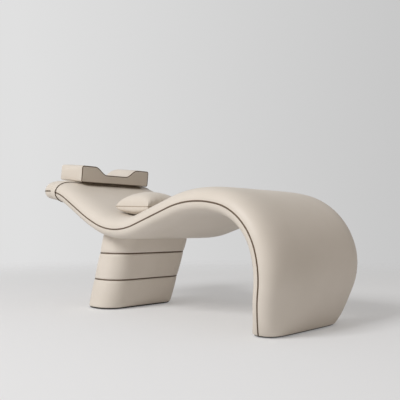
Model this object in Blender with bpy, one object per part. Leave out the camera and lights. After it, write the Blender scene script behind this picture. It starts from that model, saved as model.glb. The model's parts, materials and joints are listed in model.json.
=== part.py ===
"""Curved lash bed: a padded wave that rests on its foot and on a leaning pedestal.

A pillow on a sleeve slides round the curved head end, and a loose cushion lies on the seat.
The bed follows one side path of straight runs and arcs, from the floor at the foot to the head end.
Each bed piece is a section carried along that path: y is across, n is measured square to the path.
Metres and degrees. +X points to the foot, +Y to the far side, +Z up.
"""

import math

import bmesh
import bpy
from mathutils import Matrix, Vector

# Fit between pieces that touch
FIT = 0.0003

# Side path, in order from the floor at the foot
FOOT_CLEAR = 0.0075
FOOT_HEADING = 65.8
FOOT_CURL_RADIUS = 0.872
FOOT_CURL_TURN = 7.3
SHIN_LENGTH = 0.0974
KNEE_RADIUS = 0.288
KNEE_TURN = 93.4
THIGH_RADIUS = 0.614
THIGH_TURN = 30.7
THIGH_LENGTH = 0.261
SEAT_RADIUS = 0.521
SEAT_TURN = 37.4
LUMBAR_RADIUS = 1.19
LUMBAR_TURN = 7.4
BACK_LENGTH = 0.186
HEAD_RADIUS = 0.493
HEAD_TURN = 32.2
ARC_STEP = 8.0
HEAD_STEP = 4.0

# Bed section, measured from the piping line
BED_WIDTH = 0.750
CROWN_HEIGHT = 0.072
CROWN_POWER = 8.0
CROWN_POINTS = 7
BELLY_DEPTH = 0.052
BELLY_POWER = 14.0
BELLY_POINTS = 4
EDGE_CLUSTER = 2.2
COVER_THICKNESS = 0.0025
PIPING_RADIUS = 0.004
PIPING_SINK = 0.001
PIPING_SIDES = 6
CORD_CHANNEL = 0.0045

# Plan of the two ends
FOOT_TAPER_LENGTH = 0.370
FOOT_TAPER_RADIUS = 0.704
FOOT_ROLL = 0.006
MITRE_RUN = 0.080
HEAD_NOSE = 0.055
NOSE_STEPS = 4
NOSE_TIP = 0.0035

# Frame inside the padding
FRAME_HALF = 0.215
FRAME_ABOVE = 0.022
FRAME_BELOW = 0.039
TOP_DECK = 0.006
BOTTOM_DECK = 0.004
RIB_THICKNESS = 0.018
FRAME_NOSE_GAP = 0.030
CHANNEL_OVERRUN = 0.030
RAIL_WIDTH = 0.030
RAIL_END_GAP = 0.040
FRONT_RAIL_COUNT = 5
BACK_RAIL_COUNT = 2
CLEAT_LENGTH = 0.180

# Foot base and glides
FOOT_BASE_INSET = 0.001
GLIDE_HEIGHT = 0.003
GLIDE_RADIUS = 0.014
FOOT_GLIDE_INSET = 0.030

# Pedestal: a leaning rounded-rectangle column
PEDESTAL_BEHIND_SEAT = 0.1653
PEDESTAL_LEAN = 20.0
PEDESTAL_LENGTH = 0.254
PEDESTAL_WIDTH = 0.531
PEDESTAL_FLARE_LENGTH = 0.005
PEDESTAL_FLARE_WIDTH = 0.012
PEDESTAL_CORNER = 0.104
PEDESTAL_CORNER_STEPS = 5
PEDESTAL_GAP = 0.001
LOWER_GROOVE = 0.1716
UPPER_GROOVE = 0.322
BAND_PADDING = 0.0137
BAND_EDGE = 0.004
BAND_ROUND = 0.009
BAND_CROWN = 0.002
TRIM_RADIUS = 0.0033
CARCASS_WALL = 0.012
PLINTH_INSET = 0.007
PLINTH_TOP = 0.0105
SADDLE_THICKNESS = 0.022
PEDESTAL_GLIDE_LENGTH = 0.130
PEDESTAL_GLIDE_WIDTH = 0.360

# Bolts from the saddle into the cleat
BOLT_RADIUS = 0.005
BOLT_HOLE_ROOM = 0.0004
BOLT_HEAD_RADIUS = 0.0085
BOLT_HEAD_HEIGHT = 0.0055
BOLT_DEPTH = 0.045
BOLT_SEAT_ROOM = 0.0008
BOLT_SPREAD_LENGTH = 0.100
BOLT_SPREAD_WIDTH = 0.240

# Sleeve round the head end
SLEEVE_ROOM = 0.0013
SLEEVE_THICKNESS = 0.003
SLEEVE_FRONT = 0.161
SLEEVE_BACK = 0.116
SLEEVE_FLARE = 0.050
SLEEVE_FLARE_WIDTH = 0.570
SLEEVE_FLARE_RUN = 0.070
SLEEVE_UNDER = 0.028
SLEEVE_ROWS = 4
SLEEVE_POINTS = 21
SLEEVE_TRIM_RADIUS = 0.0014

# Head pillow
PILLOW_WIDTH = 0.515
PILLOW_HEIGHT = 0.098
PILLOW_DEPTH = 0.250
PILLOW_PITCH = 6.72
PILLOW_REACH = 0.156
PILLOW_SETTLE = 0.004
PILLOW_CORNER = 0.012
PILLOW_CHAMFER = 0.008
PILLOW_BACK_ROUND = 0.010
PILLOW_BULGE = 0.003
PILLOW_CORD_RADIUS = 0.0028
PILLOW_CORD_SINK = 0.0007
RECESS_TOP_WIDTH = 0.333
RECESS_FLOOR_WIDTH = 0.144
RECESS_DEPTH = 0.048
RECESS_STEPS = 7

# Loose cushion
CUSHION_SIZE = 0.275
CUSHION_UP = 0.094
CUSHION_DOWN = 0.052
CUSHION_DRAW = 0.07
CUSHION_WELT = 0.003
CUSHION_POWER = 0.36
CUSHION_UNDER_POWER = 0.30
CUSHION_STEPS = 14
CUSHION_ASIDE = -0.115
CUSHION_ALONG = 0.020

# Levels that follow from the sizes above
EDGE = PIPING_RADIUS + FIT
FOAM_INSET = COVER_THICKNESS + FIT
CORD_ROOM = PIPING_SINK + PIPING_RADIUS + CORD_CHANNEL
SLEEVE_SIDE = PIPING_RADIUS - PIPING_SINK + SLEEVE_ROOM
SLEEVE_OUT = SLEEVE_ROOM + SLEEVE_THICKNESS
SLEEVE_TOP = HEAD_RADIUS + CROWN_HEIGHT + SLEEVE_OUT
PILLOW_HOLLOW_HALF = math.sqrt(2.0 * SLEEVE_TOP * PILLOW_SETTLE)
PILLOW_CORD_SEAT = math.sqrt(2.0) * (PILLOW_CORD_RADIUS + FIT)
PILLOW_CORD_BACK = PILLOW_CHAMFER - PILLOW_CORD_SINK - PILLOW_CORD_SEAT


def clear_scene():
    """Starts from an empty scene."""
    for obj in list(bpy.data.objects):
        bpy.data.objects.remove(obj, do_unlink=True)


def path_runs():
    """Length and turn of each run of the side path."""
    arcs = (
        (FOOT_CURL_RADIUS, FOOT_CURL_TURN),
        (SHIN_LENGTH, 0.0),
        (KNEE_RADIUS, KNEE_TURN),
        (THIGH_RADIUS, THIGH_TURN),
        (THIGH_LENGTH, 0.0),
        (SEAT_RADIUS, -SEAT_TURN),
        (LUMBAR_RADIUS, -LUMBAR_TURN),
        (BACK_LENGTH, 0.0),
        (HEAD_RADIUS, HEAD_TURN),
    )
    runs = []
    for size, turn in arcs:
        angle = math.radians(turn)
        length = size * abs(angle) if turn else size
        runs.append((length, angle))
    return runs


def advance(x, z, heading, bend, run):
    """Point and heading after a run of constant bend (one over the radius)."""
    if abs(bend) < 1e-9:
        return x + run * math.cos(heading), z + run * math.sin(heading), heading
    end = heading + bend * run
    across = (math.sin(end) - math.sin(heading)) / bend
    up = (math.cos(heading) - math.cos(end)) / bend
    return x + across, z + up, end


def build_path(start_x):
    """Starts of the runs as (s, x, z, heading, bend), and the whole length."""
    segments = []
    s = 0.0
    x = start_x
    z = FOOT_CLEAR
    heading = math.radians(FOOT_HEADING)
    for length, angle in path_runs():
        bend = angle / length
        segments.append((s, x, z, heading, bend))
        x, z, heading = advance(x, z, heading, bend, length)
        s += length
    return segments, s


def side_frame(segments, s):
    """Point, heading and offset direction at s; the direction turns level at the floor."""
    seg = segments[0]
    for candidate in segments:
        if candidate[0] <= s:
            seg = candidate
    x, z, heading = advance(seg[1], seg[2], seg[3], seg[4], s - seg[0])
    share = max(0.0, 1.0 - max(s, 0.0) / MITRE_RUN)
    swing = share * (math.pi / 2 - heading)
    angle = heading - math.pi / 2 + swing
    reach = 1.0 / math.cos(swing)
    return x, z, heading, math.cos(angle) * reach, math.sin(angle) * reach


def body_stations(segments, length):
    """Stations before the nose: the floor's roll and mitre, then even steps along each arc."""
    found = [0.0, 0.3 * FOOT_ROLL, FOOT_ROLL, 0.5 * MITRE_RUN, MITRE_RUN]
    ends = [seg[0] for seg in segments[1:]] + [length]
    last = len(segments) - 1
    for k, (seg, end) in enumerate(zip(segments, ends)):
        turn = math.degrees(abs(seg[4]) * (end - seg[0]))
        step = HEAD_STEP if k == last else ARC_STEP
        count = max(1 if k != 1 else 2, math.ceil(turn / step - 0.01))
        for i in range(count):
            s = seg[0] + (end - seg[0]) * (i + 1) / count
            if s > found[-1] + 0.004 and s < length - HEAD_NOSE - 0.004:
                found.append(s)
    found.append(length - HEAD_NOSE)
    return found


def centre_shift():
    """Start of the path in x that puts the bed's outermost foot and head evenly about x = 0."""
    segments, length = build_path(0.0)
    front = 0.0
    for s in body_stations(segments, length):
        frame = side_frame(segments, s)
        front = max(front, frame[0] + CROWN_HEIGHT * frame[3])
    tip = side_frame(segments, length)
    back = tip[0] - (PIPING_RADIUS - PIPING_SINK)
    return -(front + back) / 2


SEGMENTS, PATH_LENGTH = build_path(centre_shift())
BODY = body_stations(SEGMENTS, PATH_LENGTH)
NOSE_START = PATH_LENGTH - HEAD_NOSE
FRAME_END = NOSE_START - FRAME_NOSE_GAP
SEAT_RUN = SEGMENTS[5]
SEAT_LOW = SEAT_RUN[0] + (math.pi - SEAT_RUN[3]) / SEAT_RUN[4]
PEDESTAL_STATION = SEAT_LOW + PEDESTAL_BEHIND_SEAT


def stations(inset=0.0):
    """All stations; those of the nose draw back with the inset."""
    nose = [math.sin(math.pi / 2 * (k + 1) / NOSE_STEPS) for k in range(NOSE_STEPS)]
    return BODY + [NOSE_START + u * (HEAD_NOSE - inset) for u in nose]


KNOTS = [(s, *side_frame(SEGMENTS, s)) for s in stations()]


def place(s, y, n):
    """Point at distance s along the faceted path, y across and n above the piping line."""
    k = 0
    while k < len(KNOTS) - 2 and KNOTS[k + 1][0] < s:
        k += 1
    a = KNOTS[k]
    b = KNOTS[k + 1]
    t = (s - a[0]) / (b[0] - a[0])
    turn = max(t, 0.0)
    x = a[1] + (b[1] - a[1]) * t + n * (a[4] + (b[4] - a[4]) * turn)
    z = a[2] + (b[2] - a[2]) * t + n * (a[5] + (b[5] - a[5]) * turn)
    return Vector((x, y, z))


def square_to(s):
    """Unit direction away from the path on its top side."""
    return (place(s, 0.0, 1.0) - place(s, 0.0, 0.0)).normalized()


def foot_roll(s):
    """How far the outline rolls in at the floor."""
    if s >= FOOT_ROLL:
        return 0.0
    u = 1.0 - s / FOOT_ROLL
    return FOOT_ROLL * (1.0 - math.sqrt(1.0 - u * u))


def nose_scale(s, inset):
    """Quarter-round that closes the section at the head end down to a blunt tip."""
    if s <= NOSE_START:
        return 1.0
    u = min(1.0, (s - NOSE_START) / (HEAD_NOSE - inset))
    return math.hypot(math.sqrt(1.0 - u * u), NOSE_TIP / HEAD_NOSE * u)


def half_width(s, inset):
    """Half width of the outline at s, drawn in at the foot and rounded at the head's corners."""
    half = BED_WIDTH / 2 - inset
    if s < FOOT_TAPER_LENGTH:
        run = FOOT_TAPER_LENGTH - s
        half -= FOOT_TAPER_RADIUS - math.sqrt(FOOT_TAPER_RADIUS ** 2 - run ** 2)
    half -= (HEAD_NOSE - inset) * (1.0 - nose_scale(s, inset))
    return half - foot_roll(s)


def shares(count):
    """Shares of the half width from +1 to -1, gathered towards the edges."""
    half = [1.0 - (i / count) ** EDGE_CLUSTER for i in range(count)]
    return half + [0.0] + [-f for f in reversed(half)]


def crown(s, inset, edge=EDGE):
    """Top skin's section as (y, n): a flat-topped superellipse over the piping line."""
    half = half_width(s, inset)
    rise = (CROWN_HEIGHT - inset - edge - foot_roll(s)) * nose_scale(s, inset)
    curve = shares(CROWN_POINTS)
    return [(half * f, edge + rise * math.sqrt(1.0 - abs(f) ** CROWN_POWER)) for f in curve]


def belly(s, inset, edge=EDGE):
    """Underside skin's section as (y, n)."""
    half = half_width(s, inset)
    drop = (BELLY_DEPTH - inset - edge - foot_roll(s)) * nose_scale(s, inset)
    curve = shares(BELLY_POINTS)
    return [(half * f, -edge - drop * math.sqrt(1.0 - abs(f) ** BELLY_POWER)) for f in curve]


def material(name, hex_colour, roughness, metallic=0.0):
    """Plain Principled material from a display colour."""
    mat = bpy.data.materials.new(name)
    mat.use_nodes = True
    shader = mat.node_tree.nodes["Principled BSDF"]
    display = [int(hex_colour[i:i + 2], 16) / 255 for i in (0, 2, 4)]
    linear = [c / 12.92 if c <= 0.04045 else ((c + 0.055) / 1.055) ** 2.4 for c in display]
    shader.inputs["Base Color"].default_value = (*linear, 1.0)
    shader.inputs["Roughness"].default_value = roughness
    shader.inputs["Metallic"].default_value = metallic
    return mat


def finish_object(name, bm, mat, smooth=True):
    """Turns a closed bmesh into a named object with its faces outwards."""
    bmesh.ops.recalc_face_normals(bm, faces=bm.faces)
    mesh = bpy.data.meshes.new(name)
    bm.to_mesh(mesh)
    bm.free()
    mesh.materials.append(mat)
    for face in mesh.polygons:
        face.use_smooth = smooth
    obj = bpy.data.objects.new(name, mesh)
    bpy.context.scene.collection.objects.link(obj)
    return obj


def fan_cap(bm, ring):
    """Triangles from the middle of a convex end."""
    middle = sum((v.co for v in ring), Vector()) / len(ring)
    hub = bm.verts.new(middle)
    for i, vert in enumerate(ring):
        bm.faces.new((hub, vert, ring[(i + 1) % len(ring)]))


def loft(name, rows, mat, smooth=False, fan=False):
    """Closed polygons joined row to row and capped at both ends."""
    bm = bmesh.new()
    rings = [[bm.verts.new(p) for p in row] for row in rows]
    count = len(rings[0])
    for a, b in zip(rings, rings[1:]):
        for i in range(count):
            j = (i + 1) % count
            bm.faces.new((a[i], a[j], b[j], b[i]))
    if fan:
        fan_cap(bm, rings[0])
        fan_cap(bm, rings[-1])
    else:
        caps = [bm.faces.new(rings[0]), bm.faces.new(rings[-1])]
        for cap in caps:
            cap.normal_update()
        bmesh.ops.triangulate(bm, faces=caps, quad_method="BEAUTY", ngon_method="EAR_CLIP")
    return finish_object(name, bm, mat, smooth)


def two_skins(name, outer, inner, mat, closed=False):
    """Solid between two grids of the same size; closed joins each row's ends."""
    bm = bmesh.new()
    a = [[bm.verts.new(p) for p in row] for row in outer]
    b = [[bm.verts.new(p) for p in row] for row in inner]
    rows = len(a)
    cols = len(a[0])
    spans = [(j, (j + 1) % cols) for j in range(cols if closed else cols - 1)]
    for i in range(rows - 1):
        for j, k in spans:
            bm.faces.new((a[i][j], a[i][k], a[i + 1][k], a[i + 1][j]))
            bm.faces.new((b[i][j], b[i + 1][j], b[i + 1][k], b[i][k]))
    for i in (0, rows - 1):
        for j, k in spans:
            bm.faces.new((a[i][j], b[i][j], b[i][k], a[i][k]))
    for j in () if closed else (0, cols - 1):
        for i in range(rows - 1):
            bm.faces.new((a[i][j], a[i + 1][j], b[i + 1][j], b[i][j]))
    return finish_object(name, bm, mat)


def cord(name, centres, outs, ups, radius, mat, closed=False):
    """Round cord through the centres; outs and ups span its section."""
    rows = []
    for c, out, up in zip(centres, outs, ups):
        angles = [2 * math.pi * k / PIPING_SIDES for k in range(PIPING_SIDES)]
        rows.append([c + radius * (math.cos(a) * out + math.sin(a) * up) for a in angles])
    if not closed:
        return loft(name, rows, mat, smooth=True)
    bm = bmesh.new()
    rings = [[bm.verts.new(p) for p in row] for row in rows]
    for i, ring in enumerate(rings):
        after = rings[(i + 1) % len(rings)]
        for k in range(PIPING_SIDES):
            m = (k + 1) % PIPING_SIDES
            bm.faces.new((ring[k], ring[m], after[m], after[k]))
    return finish_object(name, bm, mat)


def turned(name, profile, sides, base, axis, mat):
    """Profile of (radius, height) turned about an axis from the base point."""
    turn = axis.to_track_quat("Z", "Y").to_matrix()
    rows = []
    for radius, height in profile:
        angles = [2 * math.pi * k / sides for k in range(sides)]
        ring = [Vector((radius * math.cos(a), radius * math.sin(a), height)) for a in angles]
        rows.append([base + turn @ p for p in ring])
    return loft(name, rows, mat, smooth=True)


def cut(target, cutter):
    """Takes the cutter's volume out of the target."""
    mod = target.modifiers.new("cut_" + cutter.name, "BOOLEAN")
    mod.operation = "DIFFERENCE"
    mod.solver = "EXACT"
    mod.object = cutter
    cutter.hide_render = True
    cutter.display_type = "WIRE"


def run_between(start, end):
    """Stations of a piece that covers only part of the path."""
    return [start] + [s for s in stations() if start + 1e-6 < s < end - 1e-6] + [end]


def bar(name, start, end, left, right, low, high, mat):
    """Rectangular section carried along the path."""
    corners = ((left, low), (right, low), (right, high), (left, high))
    rows = [[place(s, y, n) for y, n in corners] for s in run_between(start, end)]
    return loft(name, rows, mat)


def top_cover(mat):
    """Sewn skin over the crown."""
    outer = [[place(s, y, n) for y, n in crown(s, 0.0)] for s in stations()]
    inset = COVER_THICKNESS
    inner = [[place(s, y, n) for y, n in crown(s, inset)] for s in stations(inset)]
    return two_skins("top_cover", outer, inner, mat)


def underside_cover(mat):
    """Sewn skin over the belly."""
    outer = [[place(s, y, n) for y, n in belly(s, 0.0)] for s in stations()]
    inset = COVER_THICKNESS
    inner = [[place(s, y, n) for y, n in belly(s, inset)] for s in stations(inset)]
    return two_skins("underside_cover", outer, inner, mat)


def foam(name, section, level, mat):
    """Padding between a skin and the piping level, drawn in beside the cord."""
    rows = []
    for s, root in zip(stations(FOAM_INSET), stations(CORD_ROOM)):
        row = [place(s, y, n) for y, n in section(s, FOAM_INSET)]
        half = half_width(root, CORD_ROOM)
        row += [place(root, -half, level), place(root, half, level)]
        rows.append(row)
    return loft(name, rows, mat, smooth=True, fan=True)


def frame_channel(mat):
    """Space for the frame inside the padding."""
    half = FRAME_HALF + FIT
    low = -FRAME_BELOW - FIT
    high = FRAME_ABOVE + FIT
    return bar("frame_channel", -CHANNEL_OVERRUN, FRAME_END + FIT, -half, half, low, high, mat)


def side_piping(name, side, mat):
    """Cord in the side seam, round the head's corner and across to the middle."""
    centres = []
    outs = []
    ups = []
    for s in BODY:
        centres.append(place(s, side * half_width(s, PIPING_SINK), 0.0))
        outs.append(Vector((0.0, side, 0.0)))
        ups.append(square_to(s))
    radius = HEAD_NOSE - PIPING_SINK
    for k in range(1, NOSE_STEPS + 1):
        angle = math.pi / 2 * k / NOSE_STEPS
        s = NOSE_START + radius * math.sin(angle)
        y = BED_WIDTH / 2 - HEAD_NOSE + radius * math.cos(angle)
        along = (place(s, 0.0, 0.0) - place(s - 0.01, 0.0, 0.0)).normalized()
        centres.append(place(s, side * y, 0.0))
        outs.append(math.cos(angle) * Vector((0.0, side, 0.0)) + math.sin(angle) * along)
        ups.append(square_to(s))
    centres.append(Vector((centres[-1].x, side * FIT / 2, centres[-1].z)))
    outs.append(outs[-1])
    ups.append(ups[-1])
    return cord(name, centres, outs, ups, PIPING_RADIUS, mat)


def rib(name, side, mat):
    """Curved plywood rib between the decks."""
    low = -FRAME_BELOW + BOTTOM_DECK + FIT
    high = FRAME_ABOVE - TOP_DECK - FIT
    edges = sorted((side * FRAME_HALF, side * (FRAME_HALF - RIB_THICKNESS)))
    return bar(name, 0.0, FRAME_END, edges[0], edges[1], low, high, mat)


def decks(mat):
    """Bent plywood skins over and under the ribs."""
    high = FRAME_ABOVE
    top = bar("top_deck", 0.0, FRAME_END, -FRAME_HALF, FRAME_HALF, high - TOP_DECK, high, mat)
    low = -FRAME_BELOW
    bottom = bar(
        "bottom_deck", 0.0, FRAME_END, -FRAME_HALF, FRAME_HALF, low, low + BOTTOM_DECK, mat
    )
    return top, bottom


def between_ribs(name, start, end, mat):
    """Block that fills the frame from rib to rib."""
    half = FRAME_HALF - RIB_THICKNESS - FIT
    low = -FRAME_BELOW + BOTTOM_DECK + FIT
    high = FRAME_ABOVE - TOP_DECK - FIT
    return bar(name, start, end, -half, half, low, high, mat)


def cross_rails(mat):
    """Rails spread evenly before and behind the cleat."""
    front_end = PEDESTAL_STATION - CLEAT_LENGTH / 2
    back_start = PEDESTAL_STATION + CLEAT_LENGTH / 2
    runs = (
        (RAIL_END_GAP, front_end - RAIL_END_GAP - RAIL_WIDTH, FRONT_RAIL_COUNT),
        (back_start + RAIL_END_GAP, FRAME_END - RAIL_END_GAP - RAIL_WIDTH, BACK_RAIL_COUNT),
    )
    number = 1
    for first, last, count in runs:
        for i in range(count):
            start = first + (last - first) * i / (count - 1)
            between_ribs("cross_rail_%d" % number, start, start + RAIL_WIDTH, mat)
            number += 1


def foot_base(mat):
    """Dark board under the foot, with the foot's own plan."""
    ring = crown(0.0, FOOT_BASE_INSET) + list(reversed(belly(0.0, FOOT_BASE_INSET)))
    low = GLIDE_HEIGHT + FIT
    high = FOOT_CLEAR - FIT
    plan = [place(0.0, y, n) for y, n in ring]
    rows = [[Vector((p.x, p.y, z)) for p in plan] for z in (low, high)]
    return loft("foot_base", rows, mat, fan=True)


def glide(name, x, y, mat):
    """Flat plastic glide on the floor."""
    profile = ((GLIDE_RADIUS - 0.001, 0.0), (GLIDE_RADIUS, 0.001), (GLIDE_RADIUS, GLIDE_HEIGHT))
    return turned(name, profile, 20, Vector((x, y, 0.0)), Vector((0.0, 0.0, 1.0)), mat)


def foot_glides(mat):
    """Glides under the foot's board."""
    middle = place(0.0, 0.0, (CROWN_HEIGHT - BELLY_DEPTH) / 2)
    aside = FRAME_HALF - FOOT_GLIDE_INSET
    glide("foot_glide_left", middle.x, -aside, mat)
    glide("foot_glide_right", middle.x, aside, mat)


def column_axis(z):
    """Centre of the leaning column at height z, through the belly at the pedestal's station."""
    top = place(PEDESTAL_STATION, 0.0, -BELLY_DEPTH)
    return top.x - (top.z - z) * math.tan(math.radians(PEDESTAL_LEAN))


def column_corners():
    """Signs of the corner centres and angles round the rounded rectangle."""
    found = []
    for quarter, (sx, sy) in enumerate(((1, 1), (-1, 1), (-1, -1), (1, -1))):
        for k in range(PEDESTAL_CORNER_STEPS + 1):
            angle = math.pi / 2 * (quarter + k / PEDESTAL_CORNER_STEPS)
            found.append((sx, sy, angle))
    return found


def column_point(corner, z, inset):
    """Point of the column's outline at height z, drawn in by the inset."""
    sx, sy, angle = corner
    half_x = PEDESTAL_LENGTH / 2 + PEDESTAL_FLARE_LENGTH * z - PEDESTAL_CORNER
    half_y = PEDESTAL_WIDTH / 2 + PEDESTAL_FLARE_WIDTH * z - PEDESTAL_CORNER
    radius = PEDESTAL_CORNER - inset
    x = column_axis(z) + sx * half_x + radius * math.cos(angle)
    return Vector((x, sy * half_y + radius * math.sin(angle), z))


def belly_height(x):
    """Height of the bed's underside over x, behind the knee."""
    line = [place(s, 0.0, -BELLY_DEPTH) for s in stations()]
    height = line[-1].z
    for a, b in zip(line, line[1:]):
        if b.x <= x <= a.x and b.x < a.x:
            height = b.z + (a.z - b.z) * (x - b.x) / (a.x - b.x)
    return height


def column_top(corner, inset):
    """Height at which the column's outline meets the underside."""
    z = place(PEDESTAL_STATION, 0.0, -BELLY_DEPTH).z
    for _ in range(10):
        z = belly_height(column_point(corner, z, inset).x) - PEDESTAL_GAP
    return z


def pedestal_carcass(mat):
    """Bent-plywood tube, cut to the belly at its top."""
    skins = []
    for inset in (BAND_PADDING + FIT, BAND_PADDING + FIT + CARCASS_WALL):
        low = [column_point(c, PLINTH_TOP + FIT, inset) for c in column_corners()]
        high = [column_point(c, column_top(c, inset), inset) for c in column_corners()]
        skins.append([low, high])
    return two_skins("pedestal_carcass", skins[0], skins[1], mat, closed=True)


def pedestal_saddle(mat):
    """Plate in the tube's top that follows the belly; strips across keep it true."""
    inset = BAND_PADDING + CARCASS_WALL + 2 * FIT
    rows = []
    for corner in column_corners()[:2 * (PEDESTAL_CORNER_STEPS + 1)]:
        z = column_top(corner, inset)
        top = column_point(corner, z, inset)
        low = column_point(corner, z - SADDLE_THICKNESS, inset)
        far = Vector((top.x, -top.y, top.z))
        far_low = Vector((low.x, -low.y, low.z))
        rows.append([top, far, far_low, low])
    return loft("pedestal_saddle", rows, mat)


def band_row(low, high, v, inset):
    """Loop of a band at share v of its height; high gives its top for a corner and an inset."""
    row = []
    for corner in column_corners():
        top = high(corner, inset)
        row.append(column_point(corner, low + v * (top - low), inset))
    return row


def band_solid(name, low, high, mat):
    """Padded band: one profile, rounded at its edges and crowned, carried round the column."""
    span = min(high(c, BAND_EDGE) for c in column_corners()) - low
    edge = BAND_ROUND / span
    rows = []
    for v in (0.0, 0.3 * edge, edge, 0.5, 1.0 - edge, 1.0 - 0.3 * edge, 1.0):
        near = min(min(v, 1.0 - v) / edge, 1.0)
        inset = BAND_EDGE * (1.0 - math.sqrt(1.0 - (1.0 - near) ** 2))
        inset -= BAND_CROWN * (1.0 - (2.0 * v - 1.0) ** 2)
        rows.append(band_row(low, high, v, inset))
    rows.append(band_row(low, high, 1.0, BAND_PADDING))
    rows.append(band_row(low, high, 0.0, BAND_PADDING))
    count = len(rows[0])
    bm = bmesh.new()
    rings = [[bm.verts.new(row[i]) for row in rows] for i in range(count)]
    for i in range(count):
        a = rings[i]
        b = rings[(i + 1) % count]
        for k in range(len(a)):
            m = (k + 1) % len(a)
            bm.faces.new((a[k], a[m], b[m], b[k]))
    return finish_object(name, bm, mat)


def pedestal_bands(mat):
    """Three padded bands, the upper one cut to the belly."""
    half = TRIM_RADIUS + FIT
    band_solid("lower_band", PLINTH_TOP + FIT, lambda c, i: LOWER_GROOVE - half, mat)
    band_solid("middle_band", LOWER_GROOVE + half, lambda c, i: UPPER_GROOVE - half, mat)
    band_solid("upper_band", UPPER_GROOVE + half, column_top, mat)


def groove_trim(name, height, mat):
    """Dark cord in a groove between two bands."""
    corners = column_corners()
    centres = [column_point(c, height, BAND_EDGE) for c in corners]
    outs = [Vector((math.cos(c[2]), math.sin(c[2]), 0.0)) for c in corners]
    ups = [Vector((0.0, 0.0, 1.0)) for _ in corners]
    return cord(name, centres, outs, ups, TRIM_RADIUS, mat, closed=True)


def plinth(mat):
    """Dark base board under the lowest band."""
    heights = (GLIDE_HEIGHT + FIT, PLINTH_TOP)
    rows = [[column_point(c, z, PLINTH_INSET) for c in column_corners()] for z in heights]
    return loft("plinth", rows, mat)


def pedestal_glides(mat):
    """Four glides under the plinth."""
    number = 1
    for sx in (-1, 1):
        for sy in (-1, 1):
            x = column_axis(0.0) + sx * PEDESTAL_GLIDE_LENGTH / 2
            glide("pedestal_glide_%d" % number, x, sy * PEDESTAL_GLIDE_WIDTH / 2, mat)
            number += 1


def bolt_places():
    """Head seat and direction of each bolt, square to the belly."""
    tilt = math.radians(PEDESTAL_LEAN)
    lean = Vector((math.sin(tilt), 0.0, math.cos(tilt)))
    found = []
    for along in (-1, 1):
        for across in (-1, 1):
            s = PEDESTAL_STATION + along * BOLT_SPREAD_LENGTH / 2
            axis = square_to(s)
            seat = place(s, across * BOLT_SPREAD_WIDTH / 2, -BELLY_DEPTH)
            drop = PEDESTAL_GAP + SADDLE_THICKNESS * axis.dot(lean) / lean.z + BOLT_SEAT_ROOM
            found.append((seat - axis * drop, axis))
    return found


def pedestal_bolts(mat):
    """Bolts with round heads under the saddle."""
    for number, (seat, axis) in enumerate(bolt_places(), 1):
        head = seat - axis * BOLT_HEAD_HEIGHT
        full = BOLT_HEAD_HEIGHT + SADDLE_THICKNESS + BOLT_DEPTH
        profile = (
            (BOLT_HEAD_RADIUS - 0.0015, 0.0),
            (BOLT_HEAD_RADIUS, 0.0015),
            (BOLT_HEAD_RADIUS, BOLT_HEAD_HEIGHT),
            (BOLT_RADIUS, BOLT_HEAD_HEIGHT),
            (BOLT_RADIUS, full),
        )
        turned("pedestal_bolt_%d" % number, profile, 12, head, axis, mat)


def bolt_cutter(mat):
    """Four cylinders in one cutter."""
    parts = []
    radius = BOLT_RADIUS + BOLT_HOLE_ROOM
    for number, (seat, axis) in enumerate(bolt_places(), 1):
        full = SADDLE_THICKNESS + BOLT_DEPTH + 2 * FIT
        profile = ((radius, -0.004), (radius, full))
        parts.append(turned("bolt_hole_%d" % number, profile, 12, seat, axis, mat))
    bm = bmesh.new()
    for part in parts:
        bm.from_mesh(part.data)
        bpy.data.objects.remove(part, do_unlink=True)
    return finish_object("bolt_holes", bm, mat)


def head_place(s, y, n):
    """Point on the true arc of the head end."""
    x, z, _, dx, dz = side_frame(SEGMENTS, s)
    return Vector((x + n * dx, y, z + n * dz))


def head_centre():
    """Centre of the head arc, about which the sleeve slides."""
    x, z, _, dx, dz = side_frame(SEGMENTS, SEGMENTS[-1][0] + 1e-9)
    return Vector((x - HEAD_RADIUS * dx, 0.0, z - HEAD_RADIUS * dz))


def sleeve_loop(out):
    """Closed loop round the bed at a distance out from its covers, as (y, n)."""
    half = BED_WIDTH / 2 + SLEEVE_SIDE - SLEEVE_ROOM + out
    high = CROWN_HEIGHT + out
    low = BELLY_DEPTH + out
    wide = shares(SLEEVE_POINTS)
    top = [(half * f, high * math.sqrt(1.0 - abs(f) ** CROWN_POWER)) for f in wide]
    few = shares(BELLY_POINTS)[1:-1]
    under = [(half * f, -low * math.sqrt(1.0 - abs(f) ** BELLY_POWER)) for f in few]
    return top + list(reversed(under))


def sleeve_front(y, n):
    """Distance of the sleeve's front edge from the head end; longer under the pillow and the bed."""
    if n <= 0.0:
        return SLEEVE_FRONT + SLEEVE_UNDER * min(1.0, -n / BELLY_DEPTH)
    t = min(1.0, max(0.0, (SLEEVE_FLARE_WIDTH / 2 - abs(y)) / SLEEVE_FLARE_RUN))
    return SLEEVE_FRONT + SLEEVE_FLARE * t * t * (3.0 - 2.0 * t)


def head_band(mat):
    """Sleeve round the head end that carries the pillow."""
    skins = []
    plan = sleeve_loop(SLEEVE_OUT)
    for out in (SLEEVE_OUT, SLEEVE_ROOM):
        rows = []
        for r in range(SLEEVE_ROWS + 1):
            row = []
            for (y, n), (plan_y, _) in zip(sleeve_loop(out), plan):
                front = sleeve_front(plan_y, n)
                back = SLEEVE_BACK
                d = back + (front - back) * r / SLEEVE_ROWS
                row.append(head_place(PATH_LENGTH - d, y, n))
            rows.append(row)
        skins.append(rows)
    return two_skins("head_band", skins[0], skins[1], mat, closed=True)


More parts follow.
